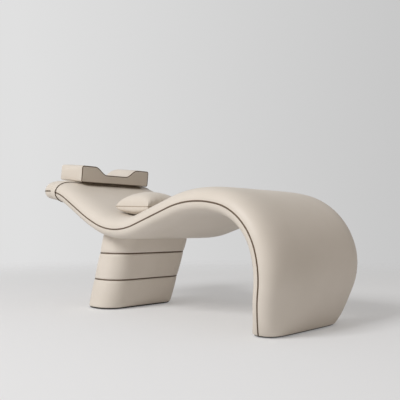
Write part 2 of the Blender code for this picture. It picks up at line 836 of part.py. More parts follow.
def band_trim(mat):
    """Dark cord along the sleeve's front edge."""
    middle = SLEEVE_ROOM + SLEEVE_THICKNESS / 2 + 2 * FIT
    inner = sleeve_loop(middle - SLEEVE_TRIM_RADIUS)
    plan = sleeve_loop(SLEEVE_OUT)
    centres = []
    outs = []
    ups = []
    for (y, n), (yi, ni), (py, _) in zip(sleeve_loop(middle), inner, plan):
        s = PATH_LENGTH - sleeve_front(py, n) - SLEEVE_TRIM_RADIUS - FIT
        centre = head_place(s, y, n)
        along = (head_place(s + 0.001, y, n) - centre).normalized()
        centres.append(centre)
        outs.append((centre - head_place(s, yi, ni)).normalized())
        ups.append(along)
    return cord("band_trim", centres, outs, ups, SLEEVE_TRIM_RADIUS, mat, closed=True)


def arc_points(cy, cz, radius, start, steps):
    """Quarter arc from a start angle, as (y, z)."""
    angles = [start + math.pi / 2 * k / steps for k in range(steps + 1)]
    return [(cy + radius * math.cos(a), cz + radius * math.sin(a)) for a in angles]


def pillow_outline():
    """Pillow's front outline as (y, z), anticlockwise from the bottom right corner."""
    half = PILLOW_WIDTH / 2 - PILLOW_CORNER
    right = arc_points(half, PILLOW_CORNER, PILLOW_CORNER, -math.pi / 2, 3)
    right += arc_points(half, PILLOW_HEIGHT - PILLOW_CORNER, PILLOW_CORNER, 0.0, 4)
    for k in range(RECESS_STEPS + 1):
        t = k / RECESS_STEPS
        y = RECESS_TOP_WIDTH / 2 + (RECESS_FLOOR_WIDTH - RECESS_TOP_WIDTH) / 2 * t
        right.append((y, PILLOW_HEIGHT - RECESS_DEPTH * (1.0 - math.cos(math.pi * t)) / 2))
    return right + [(-y, z) for y, z in reversed(right)]


def outline_normals(points):
    """Outward unit normals of a closed anticlockwise outline."""
    normals = []
    count = len(points)
    for i in range(count):
        before = points[i - 1]
        after = points[(i + 1) % count]
        here = points[i]
        a = Vector((here[1] - before[1], before[0] - here[0])).normalized()
        b = Vector((after[1] - here[1], here[0] - after[0])).normalized()
        normals.append((a + b).normalized())
    return normals


def pillow_pose():
    """Turn and front bottom point that rest the pillow on the sleeve."""
    pitch = math.radians(PILLOW_PITCH)
    reach = SLEEVE_TOP + FIT - PILLOW_SETTLE
    up = Vector((math.sin(pitch), 0.0, math.cos(pitch)))
    forward = Vector((math.cos(pitch), 0.0, -math.sin(pitch)))
    return pitch, head_centre() + reach * up + PILLOW_REACH * forward


def pillow_hollow(back):
    """Height of the sleeve's top above the settled pillow's underside, at a distance back."""
    ahead = PILLOW_REACH - back
    top = SLEEVE_TOP + 2 * FIT
    return max(0.0, math.sqrt(top * top - ahead * ahead) - top + PILLOW_SETTLE + FIT)


def pillow(mat):
    """Pillow block with a neck recess, bulged a little between front and back."""
    outline = pillow_outline()
    normals = outline_normals(outline)
    depth = PILLOW_DEPTH
    rounding = min(PILLOW_BACK_ROUND, PILLOW_CORNER - FIT)
    steps = (
        (0.0, PILLOW_CHAMFER),
        (PILLOW_CHAMFER, 0.0),
        (PILLOW_REACH - PILLOW_HOLLOW_HALF, 0.0),
        (PILLOW_REACH - 0.5 * PILLOW_HOLLOW_HALF, -PILLOW_BULGE),
        (PILLOW_REACH, -PILLOW_BULGE),
        (PILLOW_REACH + 0.4 * PILLOW_HOLLOW_HALF, -0.6 * PILLOW_BULGE),
        (depth - rounding, 0.0),
        (depth - 0.3 * rounding, 0.3 * rounding),
        (depth, rounding),
    )
    rows = []
    for back, inset in steps:
        row = []
        for (y, z), normal in zip(outline, normals):
            shift = inset if inset > 0.0 or normal.y > -0.2 else 0.0
            height = max(z - shift * normal.y, pillow_hollow(back))
            row.append(Vector((-back, y - shift * normal.x, height)))
        rows.append(row)
    return loft("pillow", rows, mat, smooth=True)


def pillow_piping(mat):
    """Dark cord round the pillow's front face."""
    outline = pillow_outline()
    normals = outline_normals(outline)
    centres = []
    outs = []
    for (y, z), normal in zip(outline, normals):
        out = Vector((0.0, normal.x, normal.y))
        centres.append(Vector((-PILLOW_CORD_BACK, y, z)) - PILLOW_CORD_SINK * out)
        outs.append(out)
    ups = [Vector((1.0, 0.0, 0.0)) for _ in centres]
    return cord("pillow_piping", centres, outs, ups, PILLOW_CORD_RADIUS, mat, closed=True)


def cushion_plan():
    """Shares of the half size from seam to seam, gathered towards the seams."""
    return [math.sin(math.pi / 2 * (2 * i / CUSHION_STEPS - 1)) for i in range(CUSHION_STEPS + 1)]


def cushion_skin(height, power, welt):
    """Rows of one skin as (along, across, up): crowned both ways, its sides drawn in."""
    half = CUSHION_SIZE / 2
    rows = []
    for u in cushion_plan():
        row = []
        for v in cushion_plan():
            x = half * u * (1.0 - CUSHION_DRAW * (1.0 - v * v))
            y = half * v * (1.0 - CUSHION_DRAW * (1.0 - u * u))
            full = max(0.0, (1.0 - u * u) * (1.0 - v * v)) ** power
            row.append((x, y, welt + (height - welt) * full))
        rows.append(row)
    return rows


def seat_depth(point):
    """How far a point lies below the seat's top, which is an arc in short straight steps."""
    x, z, _, dx, dz = side_frame(SEGMENTS, SEAT_LOW)
    away = math.hypot(point.x - x - SEAT_RADIUS * dx, point.z - z - SEAT_RADIUS * dz)
    share = min(1.0, abs(point.y) / (BED_WIDTH / 2))
    top = EDGE + (CROWN_HEIGHT - EDGE) * math.sqrt(1.0 - share ** CROWN_POWER)
    return away - (SEAT_RADIUS - top) * math.cos(math.radians(ARC_STEP / 2))


def cushion_frame():
    """Middle of the seam plane, along and up, lifted until the underside just rests on the seat."""
    s = SEAT_LOW + CUSHION_ALONG
    up = square_to(s)
    along = Vector((up.z, 0.0, -up.x))
    middle = place(s, CUSHION_ASIDE, CROWN_HEIGHT) + up * CUSHION_DOWN
    depth = -CUSHION_DOWN
    for row in cushion_skin(-CUSHION_DOWN, CUSHION_UNDER_POWER, -CUSHION_WELT / 2):
        for x, y, z in row:
            depth = max(depth, seat_depth(middle + along * x + Vector((0.0, y, 0.0)) + up * z))
    return middle + up * (depth + FIT), along, up


def throw_cushion(mat):
    """Knife-edge cushion: two crowned skins that meet in a thin seam."""
    middle, along, up = cushion_frame()
    skins = []
    sides = ((CUSHION_UP, CUSHION_POWER, 0.5), (-CUSHION_DOWN, CUSHION_UNDER_POWER, -0.5))
    for height, power, welt in sides:
        skin = cushion_skin(height, power, welt * CUSHION_WELT)
        across = Vector((0.0, 1.0, 0.0))
        skins.append([[middle + along * x + across * y + up * z for x, y, z in row] for row in skin])
    return two_skins("throw_cushion", skins[0], skins[1], mat)


def joint_empty(name, point):
    """Empty on a joint's axis."""
    empty = bpy.data.objects.new(name, None)
    empty.empty_display_size = 0.05
    empty.location = point
    bpy.context.scene.collection.objects.link(empty)
    return empty


def hang_on(empty, pieces):
    """Parents pieces to an empty without moving them."""
    bpy.context.view_layer.update()
    for piece in pieces:
        piece.parent = empty
        piece.matrix_parent_inverse = Matrix.Translation(-empty.location)


def build_bed(mats):
    """Covers, padding, frame and foot of the wave."""
    top_cover(mats["cream_leather"])
    under = underside_cover(mats["cream_leather"])
    top = foam("top_foam", crown, FIT, mats["foam"])
    low = foam("underside_foam", belly, -FIT, mats["foam"])
    holes = bolt_cutter(mats["zinc_steel"])
    channel = frame_channel(mats["foam"])
    cut(top, channel)
    cut(low, holes)
    cut(low, channel)
    cut(under, holes)
    side_piping("left_piping", -1.0, mats["brown_piping"])
    side_piping("right_piping", 1.0, mats["brown_piping"])
    rib("left_rib", -1.0, mats["plywood"])
    rib("right_rib", 1.0, mats["plywood"])
    _, bottom = decks(mats["plywood"])
    cross_rails(mats["plywood"])
    start = PEDESTAL_STATION - CLEAT_LENGTH / 2
    cleat = between_ribs("seat_cleat", start, start + CLEAT_LENGTH, mats["plywood"])
    foot_base(mats["dark_board"])
    foot_glides(mats["black_plastic"])
    cut(bottom, holes)
    cut(cleat, holes)
    return holes


def build_pedestal(mats, holes):
    """Carcass, saddle, bands, trims, plinth, glides and the bolts into the bed."""
    pedestal_carcass(mats["plywood"])
    saddle = pedestal_saddle(mats["plywood"])
    pedestal_bands(mats["cream_leather"])
    groove_trim("lower_trim", LOWER_GROOVE, mats["brown_piping"])
    groove_trim("upper_trim", UPPER_GROOVE, mats["brown_piping"])
    plinth(mats["dark_board"])
    pedestal_glides(mats["black_plastic"])
    pedestal_bolts(mats["zinc_steel"])
    cut(saddle, holes)


def build_pillow(mats):
    """Pillow and its sleeve, hung on the head arc's centre."""
    pitch, front = pillow_pose()
    block = pillow(mats["cream_leather"])
    edge = pillow_piping(mats["brown_piping"])
    for piece in (block, edge):
        piece.rotation_euler = (0.0, pitch, 0.0)
        piece.location = front
    sleeve = head_band(mats["cream_leather"])
    trim = band_trim(mats["brown_piping"])
    hang_on(joint_empty("pillow_slide_axis", head_centre()), (block, edge, sleeve, trim))


def build_cushion(mats):
    """Loose cushion, hung on its own middle."""
    middle, _, _ = cushion_frame()
    piece = throw_cushion(mats["cream_leather"])
    hang_on(joint_empty("cushion_lift_axis", middle), (piece,))


def main():
    """Builds every piece in place."""
    clear_scene()
    mats = {
        "cream_leather": material("cream_leather", "ddd4c8", 0.45),
        "brown_piping": material("brown_piping", "5a4e42", 0.5),
        "foam": material("foam", "e8dfae", 0.95),
        "plywood": material("plywood", "b58e5c", 0.7),
        "dark_board": material("dark_board", "383129", 0.6),
        "black_plastic": material("black_plastic", "1c1c1c", 0.5),
        "zinc_steel": material("zinc_steel", "9a9c9e", 0.35, 1.0),
    }
    holes = build_bed(mats)
    build_pedestal(mats, holes)
    build_pillow(mats)
    build_cushion(mats)


main()
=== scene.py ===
import json
import math

import bpy
import numpy as np
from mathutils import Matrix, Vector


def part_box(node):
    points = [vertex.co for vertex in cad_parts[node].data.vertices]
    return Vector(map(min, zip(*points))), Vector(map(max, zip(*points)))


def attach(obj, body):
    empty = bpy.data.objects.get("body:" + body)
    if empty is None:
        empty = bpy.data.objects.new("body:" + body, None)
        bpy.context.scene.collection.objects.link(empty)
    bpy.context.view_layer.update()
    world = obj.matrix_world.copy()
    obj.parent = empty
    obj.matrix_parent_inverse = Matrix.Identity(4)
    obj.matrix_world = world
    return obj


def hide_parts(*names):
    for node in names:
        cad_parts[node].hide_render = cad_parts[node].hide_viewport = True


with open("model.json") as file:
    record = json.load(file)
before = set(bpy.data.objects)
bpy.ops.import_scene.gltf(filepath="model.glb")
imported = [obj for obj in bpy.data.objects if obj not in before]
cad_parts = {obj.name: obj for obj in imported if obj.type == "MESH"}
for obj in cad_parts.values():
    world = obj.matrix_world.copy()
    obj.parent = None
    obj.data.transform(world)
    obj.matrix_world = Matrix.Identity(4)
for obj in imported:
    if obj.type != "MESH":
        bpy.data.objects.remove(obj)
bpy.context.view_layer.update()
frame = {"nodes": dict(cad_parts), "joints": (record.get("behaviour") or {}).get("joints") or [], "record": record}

# Sizes in metres and turns in degrees, the same as the solids have.
FIT = 0.0003
FOOT_CLEAR = 0.0075
FOOT_HEADING = 65.8
SIDE_RUNS = (
    (0.872, 7.3),      # foot curl
    (0.0974, 0.0),     # shin
    (0.288, 93.4),     # knee
    (0.614, 30.7),     # thigh
    (0.261, 0.0),      # thigh, straight
    (0.521, -37.4),    # seat
    (1.190, -7.4),     # lumbar
    (0.186, 0.0),      # back
    (0.493, 32.2),     # head
)
SEAT_RUN = 5
SEAT_RADIUS = SIDE_RUNS[SEAT_RUN][0]
HEAD_RADIUS = SIDE_RUNS[-1][0]
BED_WIDTH = 0.750
CROWN_HEIGHT = 0.072
CROWN_POWER = 8.0
BELLY_DEPTH = 0.052
BELLY_POWER = 14.0
PIPING_RADIUS = 0.004
PIPING_SINK = 0.001
EDGE = PIPING_RADIUS + FIT
FOOT_TAPER_LENGTH = 0.370
FOOT_TAPER_RADIUS = 0.704
FOOT_ROLL = 0.006
MITRE_RUN = 0.080
HEAD_NOSE = 0.055
NOSE_TIP = 0.0035
FRAME_HALF = 0.215
FRAME_ABOVE = 0.022
FRAME_BELOW = 0.039
FRAME_NOSE_GAP = 0.030
PEDESTAL_LEAN = 20.0
PEDESTAL_LENGTH = 0.254
PEDESTAL_WIDTH = 0.531
PEDESTAL_FLARE_LENGTH = 0.005
PEDESTAL_FLARE_WIDTH = 0.012
PEDESTAL_CORNER = 0.104
LOWER_GROOVE = 0.1716
UPPER_GROOVE = 0.322
BAND_PADDING = 0.0137
BAND_EDGE = 0.004
BAND_ROUND = 0.009
BAND_CROWN = 0.002
TRIM_RADIUS = 0.0033
PLINTH_TOP = 0.0105
SLEEVE_ROOM = 0.0013
SLEEVE_THICKNESS = 0.003
SLEEVE_FRONT = 0.161
SLEEVE_BACK = 0.116
SLEEVE_FLARE = 0.050
SLEEVE_FLARE_WIDTH = 0.570
SLEEVE_FLARE_RUN = 0.070
SLEEVE_UNDER = 0.028
SLEEVE_TRIM_RADIUS = 0.0014
SLEEVE_SIDE = PIPING_RADIUS - PIPING_SINK + SLEEVE_ROOM
SLEEVE_OUT = SLEEVE_ROOM + SLEEVE_THICKNESS
SLEEVE_TOP = HEAD_RADIUS + CROWN_HEIGHT + SLEEVE_OUT
PILLOW_WIDTH = 0.515
PILLOW_HEIGHT = 0.098
PILLOW_DEPTH = 0.250
PILLOW_PITCH = 6.72
PILLOW_REACH = 0.156
PILLOW_SETTLE = 0.004
PILLOW_CORNER = 0.012
PILLOW_BACK_ROUND = 0.010
PILLOW_CORD_RADIUS = 0.0028
PILLOW_CORD_BACK = 0.0029
PILLOW_CORD_SINK = 0.0007
RECESS_TOP_WIDTH = 0.333
RECESS_FLOOR_WIDTH = 0.144
RECESS_DEPTH = 0.048
CUSHION_SIZE = 0.275
CUSHION_UP = 0.094
CUSHION_DOWN = 0.052
CUSHION_DRAW = 0.07
CUSHION_UNDER_POWER = 0.30
CUSHION_ASIDE = -0.115
CUSHION_ALONG = 0.020

# What only the sewn pieces have: steps along a form, small gaps, edges, fullness, the swelling
# under pressure and the puckers of a seam.
PAD_STEP = 0.010
PAD_STEPS_ACROSS = 44
PAD_SPLIT = 0.2 * FIT          # from the piping line to each pad
FRAME_ROOM = 0.0012            # between the frame and the channel over it
PEDESTAL_GAP = 0.0008          # between the upper band and the belly
BELLY_AHEAD = 0.3              # belly searched for the column's top: ahead of the seat's low point
BELLY_SHORT = 0.2              # and short of the head end
CORD_STEP = 0.008
NUDGE = 0.001                  # step that shows a direction along the path
BEND_WEIGHT = 0.10             # length of section that one radian of bend counts for
BLOW_FRAMES = 20
PILLOW_STEP = 0.010
PILLOW_CORNER_STEPS = 8
RECESS_STEPS = 30
PILLOW_FRONT_ROUND = 0.004
PILLOW_CELL = 0.0045
PILLOW_SEAM_REACH = 0.010
PILLOW_SWELL = 0.004
PILLOW_PRESSURE = 4.0
CUSHION_CELLS = 56
CUSHION_CROWD = 0.15           # share by which rows crowd towards the seam
CUSHION_FULL = 0.31
CUSHION_UNDER_FULL = 0.23
CUSHION_START = 0.90           # share of the full height before the cloth swells
CUSHION_UNDER_START = 0.94
CUSHION_SWELL = 0.012
CUSHION_PRESSURE = 5.0
CUSHION_PUCKER = 0.0030
CUSHION_PUCKER_PITCH = 0.033
CUSHION_PUCKER_DRIFT = 0.121
CUSHION_PUCKER_SWAY = 1.9      # radians by which the pitch drifts
CUSHION_PUCKER_REACH = 0.014
CUSHION_CORD_RADIUS = 0.0014
CUSHION_CORD_OUT = 0.0004


# Mesh helpers.

def grid_faces(rows, cols, round_rows=False, round_cols=False, first=0):
    """Four corner numbers for each cell of a grid of points, row by row from first."""
    r = np.arange(rows if round_rows else rows - 1)
    c = np.arange(cols if round_cols else cols - 1)
    r, c = np.meshgrid(r, c, indexing="ij")
    below = (r + 1) % rows
    after = (c + 1) % cols
    corners = (r * cols + c, r * cols + after, below * cols + after, below * cols + c)
    return first + np.stack(corners, -1).reshape(-1, 4)


def volume_of(points, faces):
    """Six times the volume: the triple products of each face's fan of triangles, added up."""
    total = 0.0
    for block in faces:
        a = points[block[:, 0]]
        for k in range(1, block.shape[1] - 1):
            total += np.sum(a * np.cross(points[block[:, k]], points[block[:, k + 1]]))
    return total


def make_piece(name, points, faces):
    """Smooth object from points and blocks of faces, turned outwards where the volume is negative."""
    points = np.asarray(points, float).reshape(-1, 3)
    if volume_of(points, faces) < 0.0:
        faces = [block[:, ::-1] for block in faces]
    mesh = bpy.data.meshes.new(name)
    mesh.from_pydata(points.tolist(), [], [tuple(f) for block in faces for f in block.tolist()])
    mesh.polygons.foreach_set("use_smooth", np.full(len(mesh.polygons), True))
    mesh.update()
    piece = bpy.data.objects.new(name, mesh)
    bpy.context.scene.collection.objects.link(piece)
    return piece


def rim_loop(number):
    """Point numbers once round the rim of a grid."""
    return np.concatenate([number[0, :-1], number[:-1, -1], number[-1, :0:-1], number[:0:-1, 0]])


def two_skins(outer, inner, ring=False):
    """Points and faces of a body between two grids of the same size, closed along their rims."""
    rows, cols = outer.shape[:2]
    count = rows * cols
    points = np.concatenate([outer.reshape(-1, 3), inner.reshape(-1, 3)])
    number = np.arange(count).reshape(rows, cols)
    faces = [grid_faces(rows, cols, False, ring)]
    faces.append(grid_faces(rows, cols, False, ring, count)[:, ::-1])
    rims = [number[0], number[-1][::-1]] if ring else [rim_loop(number)]
    for rim in rims:
        after = np.roll(rim, -1)
        faces.append(np.stack([after, rim, rim + count, after + count], -1))
    return points, faces


def tube(centres, outs, ups, radius, sides, closed=False):
    """Points and faces of a cord: a circle in the plane of outs and ups at each centre."""
    angle = np.arange(sides) * 2.0 * np.pi / sides
    ring = outs[:, None] * np.cos(angle)[None, :, None] + ups[:, None] * np.sin(angle)[None, :, None]
    points = (centres[:, None] + radius * ring).reshape(-1, 3)
    rows = len(centres)
    faces = [grid_faces(rows, sides, closed, True)]
    if not closed:
        points = np.concatenate([points, centres[[0, -1]]])
        rim = np.arange(sides)
        after = np.roll(rim, -1)
        last = (rows - 1) * sides
        faces.append(np.stack([after, rim, np.full(sides, rows * sides)], -1))
        faces.append(np.stack([rim + last, after + last, np.full(sides, rows * sides + 1)], -1))
    return points, faces


def ease(u):
    """Smooth step from 0 to 1: three u squared less two u cubed, held at the ends."""
    u = np.clip(u, 0.0, 1.0)
    return u * u * (3.0 - 2.0 * u)


def unit(v):
    """Vectors scaled to length one."""
    return v / np.linalg.norm(v, axis=-1, keepdims=True)


# Side path of the wave: arcs and straights from the floor at the foot to the head end.

def path_starts():
    """Distance, x, z, heading and bend where each run begins, with the foot at x = 0."""
    s, x, z, heading = 0.0, 0.0, FOOT_CLEAR, math.radians(FOOT_HEADING)
    found = []
    for size, turn in SIDE_RUNS:
        angle = math.radians(turn)
        length = size * abs(angle) if turn else size
        found.append((s, x, z, heading, angle / length))
        chord = length * np.sinc(angle / 2.0 / np.pi)
        x += chord * math.cos(heading + angle / 2.0)
        z += chord * math.sin(heading + angle / 2.0)
        heading += angle
        s += length
    return np.array(found), s


STARTS, PATH_LENGTH = path_starts()
NOSE_START = PATH_LENGTH - HEAD_NOSE
FRAME_END = NOSE_START - FRAME_NOSE_GAP
SEAT_LOW = STARTS[SEAT_RUN, 0] + (math.pi - STARTS[SEAT_RUN, 3]) / STARTS[SEAT_RUN, 4]
slide = next(j for j in frame["joints"] if j["name"] == "pillow_slide")
HEAD_CENTRE = np.array(slide["pos_m"], float)
head_start = STARTS[-1]
STARTS[:, 1] += HEAD_CENTRE[0] - (head_start[1] - HEAD_RADIUS * math.sin(head_start[3]))


def side_frame(s):
    """Point, heading and offset direction at distance s; the direction turns level at the floor."""
    s = np.asarray(s, float)
    run = STARTS[np.clip(np.searchsorted(STARTS[:, 0], s, "right") - 1, 0, len(STARTS) - 1)]
    along = s - run[..., 0]
    turn = along * run[..., 4]
    chord = along * np.sinc(turn / 2.0 / np.pi)
    x = run[..., 1] + chord * np.cos(run[..., 3] + turn / 2.0)
    z = run[..., 2] + chord * np.sin(run[..., 3] + turn / 2.0)
    heading = run[..., 3] + turn
    swing = np.clip(1.0 - np.maximum(s, 0.0) / MITRE_RUN, 0.0, None) * (np.pi / 2 - heading)
    angle = heading - np.pi / 2 + swing
    reach = 1.0 / np.cos(swing)
    return x, z, heading, np.cos(angle) * reach, np.sin(angle) * reach


def bed_point(s, y, n):
    """Point at distance s along the path, y across and n out from the piping line."""
    x, z, _, out_x, out_z = side_frame(s)
    x, y, z = np.broadcast_arrays(x + n * out_x, y, z + n * out_z)
    return np.stack([x, y, z], -1)


def path_normal(s):
    """Unit direction out of the top at s."""
    _, _, _, out_x, out_z = side_frame(s)
    return unit(np.stack([out_x, np.zeros_like(out_x), out_z], -1))


def foot_roll(s):
    """How far the outline rolls in at the floor: a quarter circle."""
    u = np.clip(1.0 - np.asarray(s) / FOOT_ROLL, 0.0, 1.0)
    return FOOT_ROLL * (1.0 - np.sqrt(1.0 - u * u))


def nose_scale(s):
    """Quarter circle that closes the section at the head end down to a blunt tip."""
    u = np.clip((np.asarray(s) - NOSE_START) / HEAD_NOSE, 0.0, 1.0)
    return np.hypot(np.sqrt(1.0 - u * u), NOSE_TIP / HEAD_NOSE * u)


def half_width(s, inset=0.0):
    """Half width at s: drawn in on an arc at the foot and rounded at the head's corners."""
    run = np.clip(FOOT_TAPER_LENGTH - s, 0.0, None)
    taper = FOOT_TAPER_RADIUS - np.sqrt(FOOT_TAPER_RADIUS ** 2 - run ** 2)
    corner = (HEAD_NOSE - inset) * (1.0 - nose_scale(s))
    return BED_WIDTH / 2 - inset - taper - corner - foot_roll(s)


def bed_stations(step):
    """Stations along the bed: close together in the floor's roll and the head's round."""
    low = FOOT_ROLL * (1.0 - np.cos(np.linspace(0.0, np.pi / 2, 6)[:-1]))
    body = np.linspace(FOOT_ROLL, NOSE_START, int((NOSE_START - FOOT_ROLL) / step))
    nose = NOSE_START + HEAD_NOSE * np.sin(np.linspace(0.0, np.pi / 2, 14)[1:])
    return np.concatenate([low, body, nose])


def section_shares(power, half, rise, count):
    """Section |f|^power + g^2 = 1 from one edge to the other, closer together where it bends."""
    t = np.linspace(0.0, np.pi / 2, 6001)
    f = np.cos(t) ** (2.0 / power)
    g = np.sin(t)
    dy, dn = np.diff(f * half), np.diff(g * rise)
    bend = np.abs(np.diff(np.arctan2(dn, dy), prepend=np.pi / 2))
    travel = np.concatenate([[0.0], np.cumsum(np.hypot(dy, dn) + BEND_WEIGHT * bend)])
    even = np.linspace(0.0, travel[-1], count + 1)
    f, g = np.interp(even, travel, f), np.interp(even, travel, g)
    return np.concatenate([f, -f[-2::-1]]), np.concatenate([g, g[-2::-1]])


# Padded pieces: cloth blown up from inside, each point's move held to a cap.

def points_of(mesh):
    """The mesh's points as an array."""
    co = np.empty(len(mesh.vertices) * 3)
    mesh.vertices.foreach_get("co", co)
    return co.reshape(-1, 3)


def set_points(piece, points):
    """Puts an array of points back into the piece."""
    piece.data.vertices.foreach_set("co", points.ravel())
    piece.data.update()


def inflate(piece, cap, pressure, pinned):
    """Swells the piece with Blender's cloth and keeps each move m as cap times tanh(m / cap)."""
    start = points_of(piece.data)
    group = piece.vertex_groups.new(name="pinned")
    group.add(np.flatnonzero(pinned).tolist(), 1.0, "REPLACE")
    cloth = piece.modifiers.new("Cloth", "CLOTH")
    cloth.settings.quality = 6
    cloth.settings.mass = 0.3
    cloth.settings.tension_stiffness = 25.0
    cloth.settings.compression_stiffness = 25.0
    cloth.settings.shear_stiffness = 10.0
    cloth.settings.bending_stiffness = 1.5
    cloth.settings.vertex_group_mass = "pinned"
    cloth.settings.use_pressure = True
    cloth.settings.uniform_pressure_force = pressure
    cloth.settings.effector_weights.gravity = 0.0
    cloth.collision_settings.use_collision = False
    cloth.point_cache.frame_start = 1
    cloth.point_cache.frame_end = BLOW_FRAMES
    scene = bpy.context.scene
    for number in range(1, BLOW_FRAMES + 1):
        scene.frame_set(number)
    blown = piece.evaluated_get(bpy.context.evaluated_depsgraph_get()).to_mesh()
    move = points_of(blown) - start
    size = np.maximum(np.linalg.norm(move, axis=1, keepdims=True), 1e-9)
    move *= cap * np.tanh(size / cap) / size
    piece.modifiers.remove(cloth)
    piece.vertex_groups.remove(group)
    scene.frame_set(1)
    set_points(piece, start + move)


def remesh(piece, voxel):
    """Even skin of square cells over the piece's shape."""
    mod = piece.modifiers.new("Remesh", "REMESH")
    mod.mode = "VOXEL"
    mod.voxel_size = voxel
    mod.use_smooth_shade = True
    graph = bpy.context.evaluated_depsgraph_get()
    mesh = bpy.data.meshes.new_from_object(piece.evaluated_get(graph))
    piece.modifiers.remove(mod)
    piece.data = mesh
    mesh.name = piece.name


def subdivide(piece):
    """Rounds the piece with one level of subdivision surface."""
    mod = piece.modifiers.new("Subdivision", "SUBSURF")
    mod.levels = 1
    mod.render_levels = 1


# Materials: pattern sizes are in millimetres, MM of them to the metre.

MM = 1000.0
LEATHER_CLOUD_MM = 240.0
GLIDE_SPARK_MM = 0.8
ZINC_CLOUD_MM = 4.0


def srgb(code):
    """Linear colour from an sRGB hex value."""
    c = np.array([int(code[k:k + 2], 16) for k in (0, 2, 4)]) / 255.0
    c = np.where(c <= 0.04045, c / 12.92, ((c + 0.055) / 1.055) ** 2.4)
    return (*c.tolist(), 1.0)


def node(tree, kind, inputs=(), **settings):
    """Adds a node; an input that is a socket is linked, and any other is set."""
    made = tree.nodes.new(kind)
    for key, value in settings.items():
        setattr(made, key, value)
    for key, value in dict(inputs).items():
        if isinstance(value, bpy.types.NodeSocket):
            tree.links.new(value, made.inputs[key])
        else:
            made.inputs[key].default_value = value
    return made


def new_material(name):
    """Material with its tree emptied down to the output."""
    mat = bpy.data.materials.new(name)
    mat.use_nodes = True
    tree = mat.node_tree
    tree.nodes.clear()
    out = tree.nodes.new("ShaderNodeOutputMaterial")
    return mat, tree, out


def leatherette(name, light, dark, grain_mm, rough, bump):
    """Calendered PU leather on foam: fine pebble grain, faint cloudy tone, soft low sheen."""
    mat, tree, out = new_material(name)
    coord = node(tree, "ShaderNodeTexCoord").outputs["Object"]
    cloud = node(tree, "ShaderNodeTexNoise", {
        "Vector": coord, "Scale": MM / LEATHER_CLOUD_MM, "Detail": 3.0})
    tone = node(tree, "ShaderNodeMapRange", {
        "Value": cloud.outputs["Fac"], "From Min": 0.3, "From Max": 0.7})
    grain = node(tree, "ShaderNodeTexVoronoi", {
        "Vector": coord, "Scale": MM / grain_mm, "Randomness": 0.9}, feature="SMOOTH_F1")
    fine = node(tree, "ShaderNodeTexNoise", {
        "Vector": coord, "Scale": MM / (0.45 * grain_mm), "Detail": 2.0})
    both = node(tree, "ShaderNodeMath", {
        0: grain.outputs["Distance"], 1: fine.outputs["Fac"]}, operation="ADD")
    colour = node(tree, "ShaderNodeMix", {
        "Factor": tone.outputs[0], "A": srgb(dark), "B": srgb(light)}, data_type="RGBA")
    gloss = node(tree, "ShaderNodeMapRange", {
        "Value": both.outputs[0], "From Min": 0.2, "From Max": 1.4,
        "To Min": rough - 0.05, "To Max": rough + 0.06})
    raised = node(tree, "ShaderNodeBump", {
        "Height": both.outputs[0], "Strength": bump, "Distance": 0.0004})
    skin = node(tree, "ShaderNodeBsdfPrincipled", {
        "Base Color": colour.outputs["Result"], "Roughness": gloss.outputs[0],
        "IOR": 1.48, "Specular IOR Level": 0.36, "Normal": raised.outputs[0]})
    tree.links.new(skin.outputs[0], out.inputs[0])
    return mat


def board(name, light, dark, ring_mm, rough, stretch):
    """Wood drawn along one axis: darker growth lines, fine pores, matt or satin finish."""
    mat, tree, out = new_material(name)
    coord = node(tree, "ShaderNodeTexCoord").outputs["Object"]
    scale = [MM / ring_mm * share for share in stretch]
    along = node(tree, "ShaderNodeMapping", {"Vector": coord, "Scale": scale}).outputs[0]
    lines = node(tree, "ShaderNodeTexNoise", {
        "Vector": along, "Scale": 1.0, "Detail": 5.0, "Distortion": 0.6})
    pores = node(tree, "ShaderNodeTexNoise", {"Vector": along, "Scale": 6.0, "Detail": 2.0})
    tone = node(tree, "ShaderNodeMapRange", {
        "Value": lines.outputs["Fac"], "From Min": 0.35, "From Max": 0.65})
    colour = node(tree, "ShaderNodeMix", {
        "Factor": tone.outputs[0], "A": srgb(dark), "B": srgb(light)}, data_type="RGBA")
    gloss = node(tree, "ShaderNodeMapRange", {
        "Value": pores.outputs["Fac"], "To Min": rough - 0.08, "To Max": rough + 0.08})
    raised = node(tree, "ShaderNodeBump", {
        "Height": pores.outputs["Fac"], "Strength": 0.25, "Distance": 0.0003})
    face = node(tree, "ShaderNodeBsdfPrincipled", {
        "Base Color": colour.outputs["Result"], "Roughness": gloss.outputs[0],
        "IOR": 1.5, "Normal": raised.outputs[0]})
    tree.links.new(face.outputs[0], out.inputs[0])
    return mat


def moulded_plastic():
    """Injection-moulded polyethylene glide: black, finely sparked skin, dull shine."""
    mat, tree, out = new_material("moulded_polyethylene")
    coord = node(tree, "ShaderNodeTexCoord").outputs["Object"]
    spark = node(tree, "ShaderNodeTexNoise", {
        "Vector": coord, "Scale": MM / GLIDE_SPARK_MM, "Detail": 2.0})
    gloss = node(tree, "ShaderNodeMapRange", {
        "Value": spark.outputs["Fac"], "To Min": 0.42, "To Max": 0.62})
    raised = node(tree, "ShaderNodeBump", {
        "Height": spark.outputs["Fac"], "Strength": 0.2, "Distance": 0.0002})
    face = node(tree, "ShaderNodeBsdfPrincipled", {
        "Base Color": srgb("1c1c1c"), "Roughness": gloss.outputs[0],
        "IOR": 1.51, "Normal": raised.outputs[0]})
    tree.links.new(face.outputs[0], out.inputs[0])
    return mat


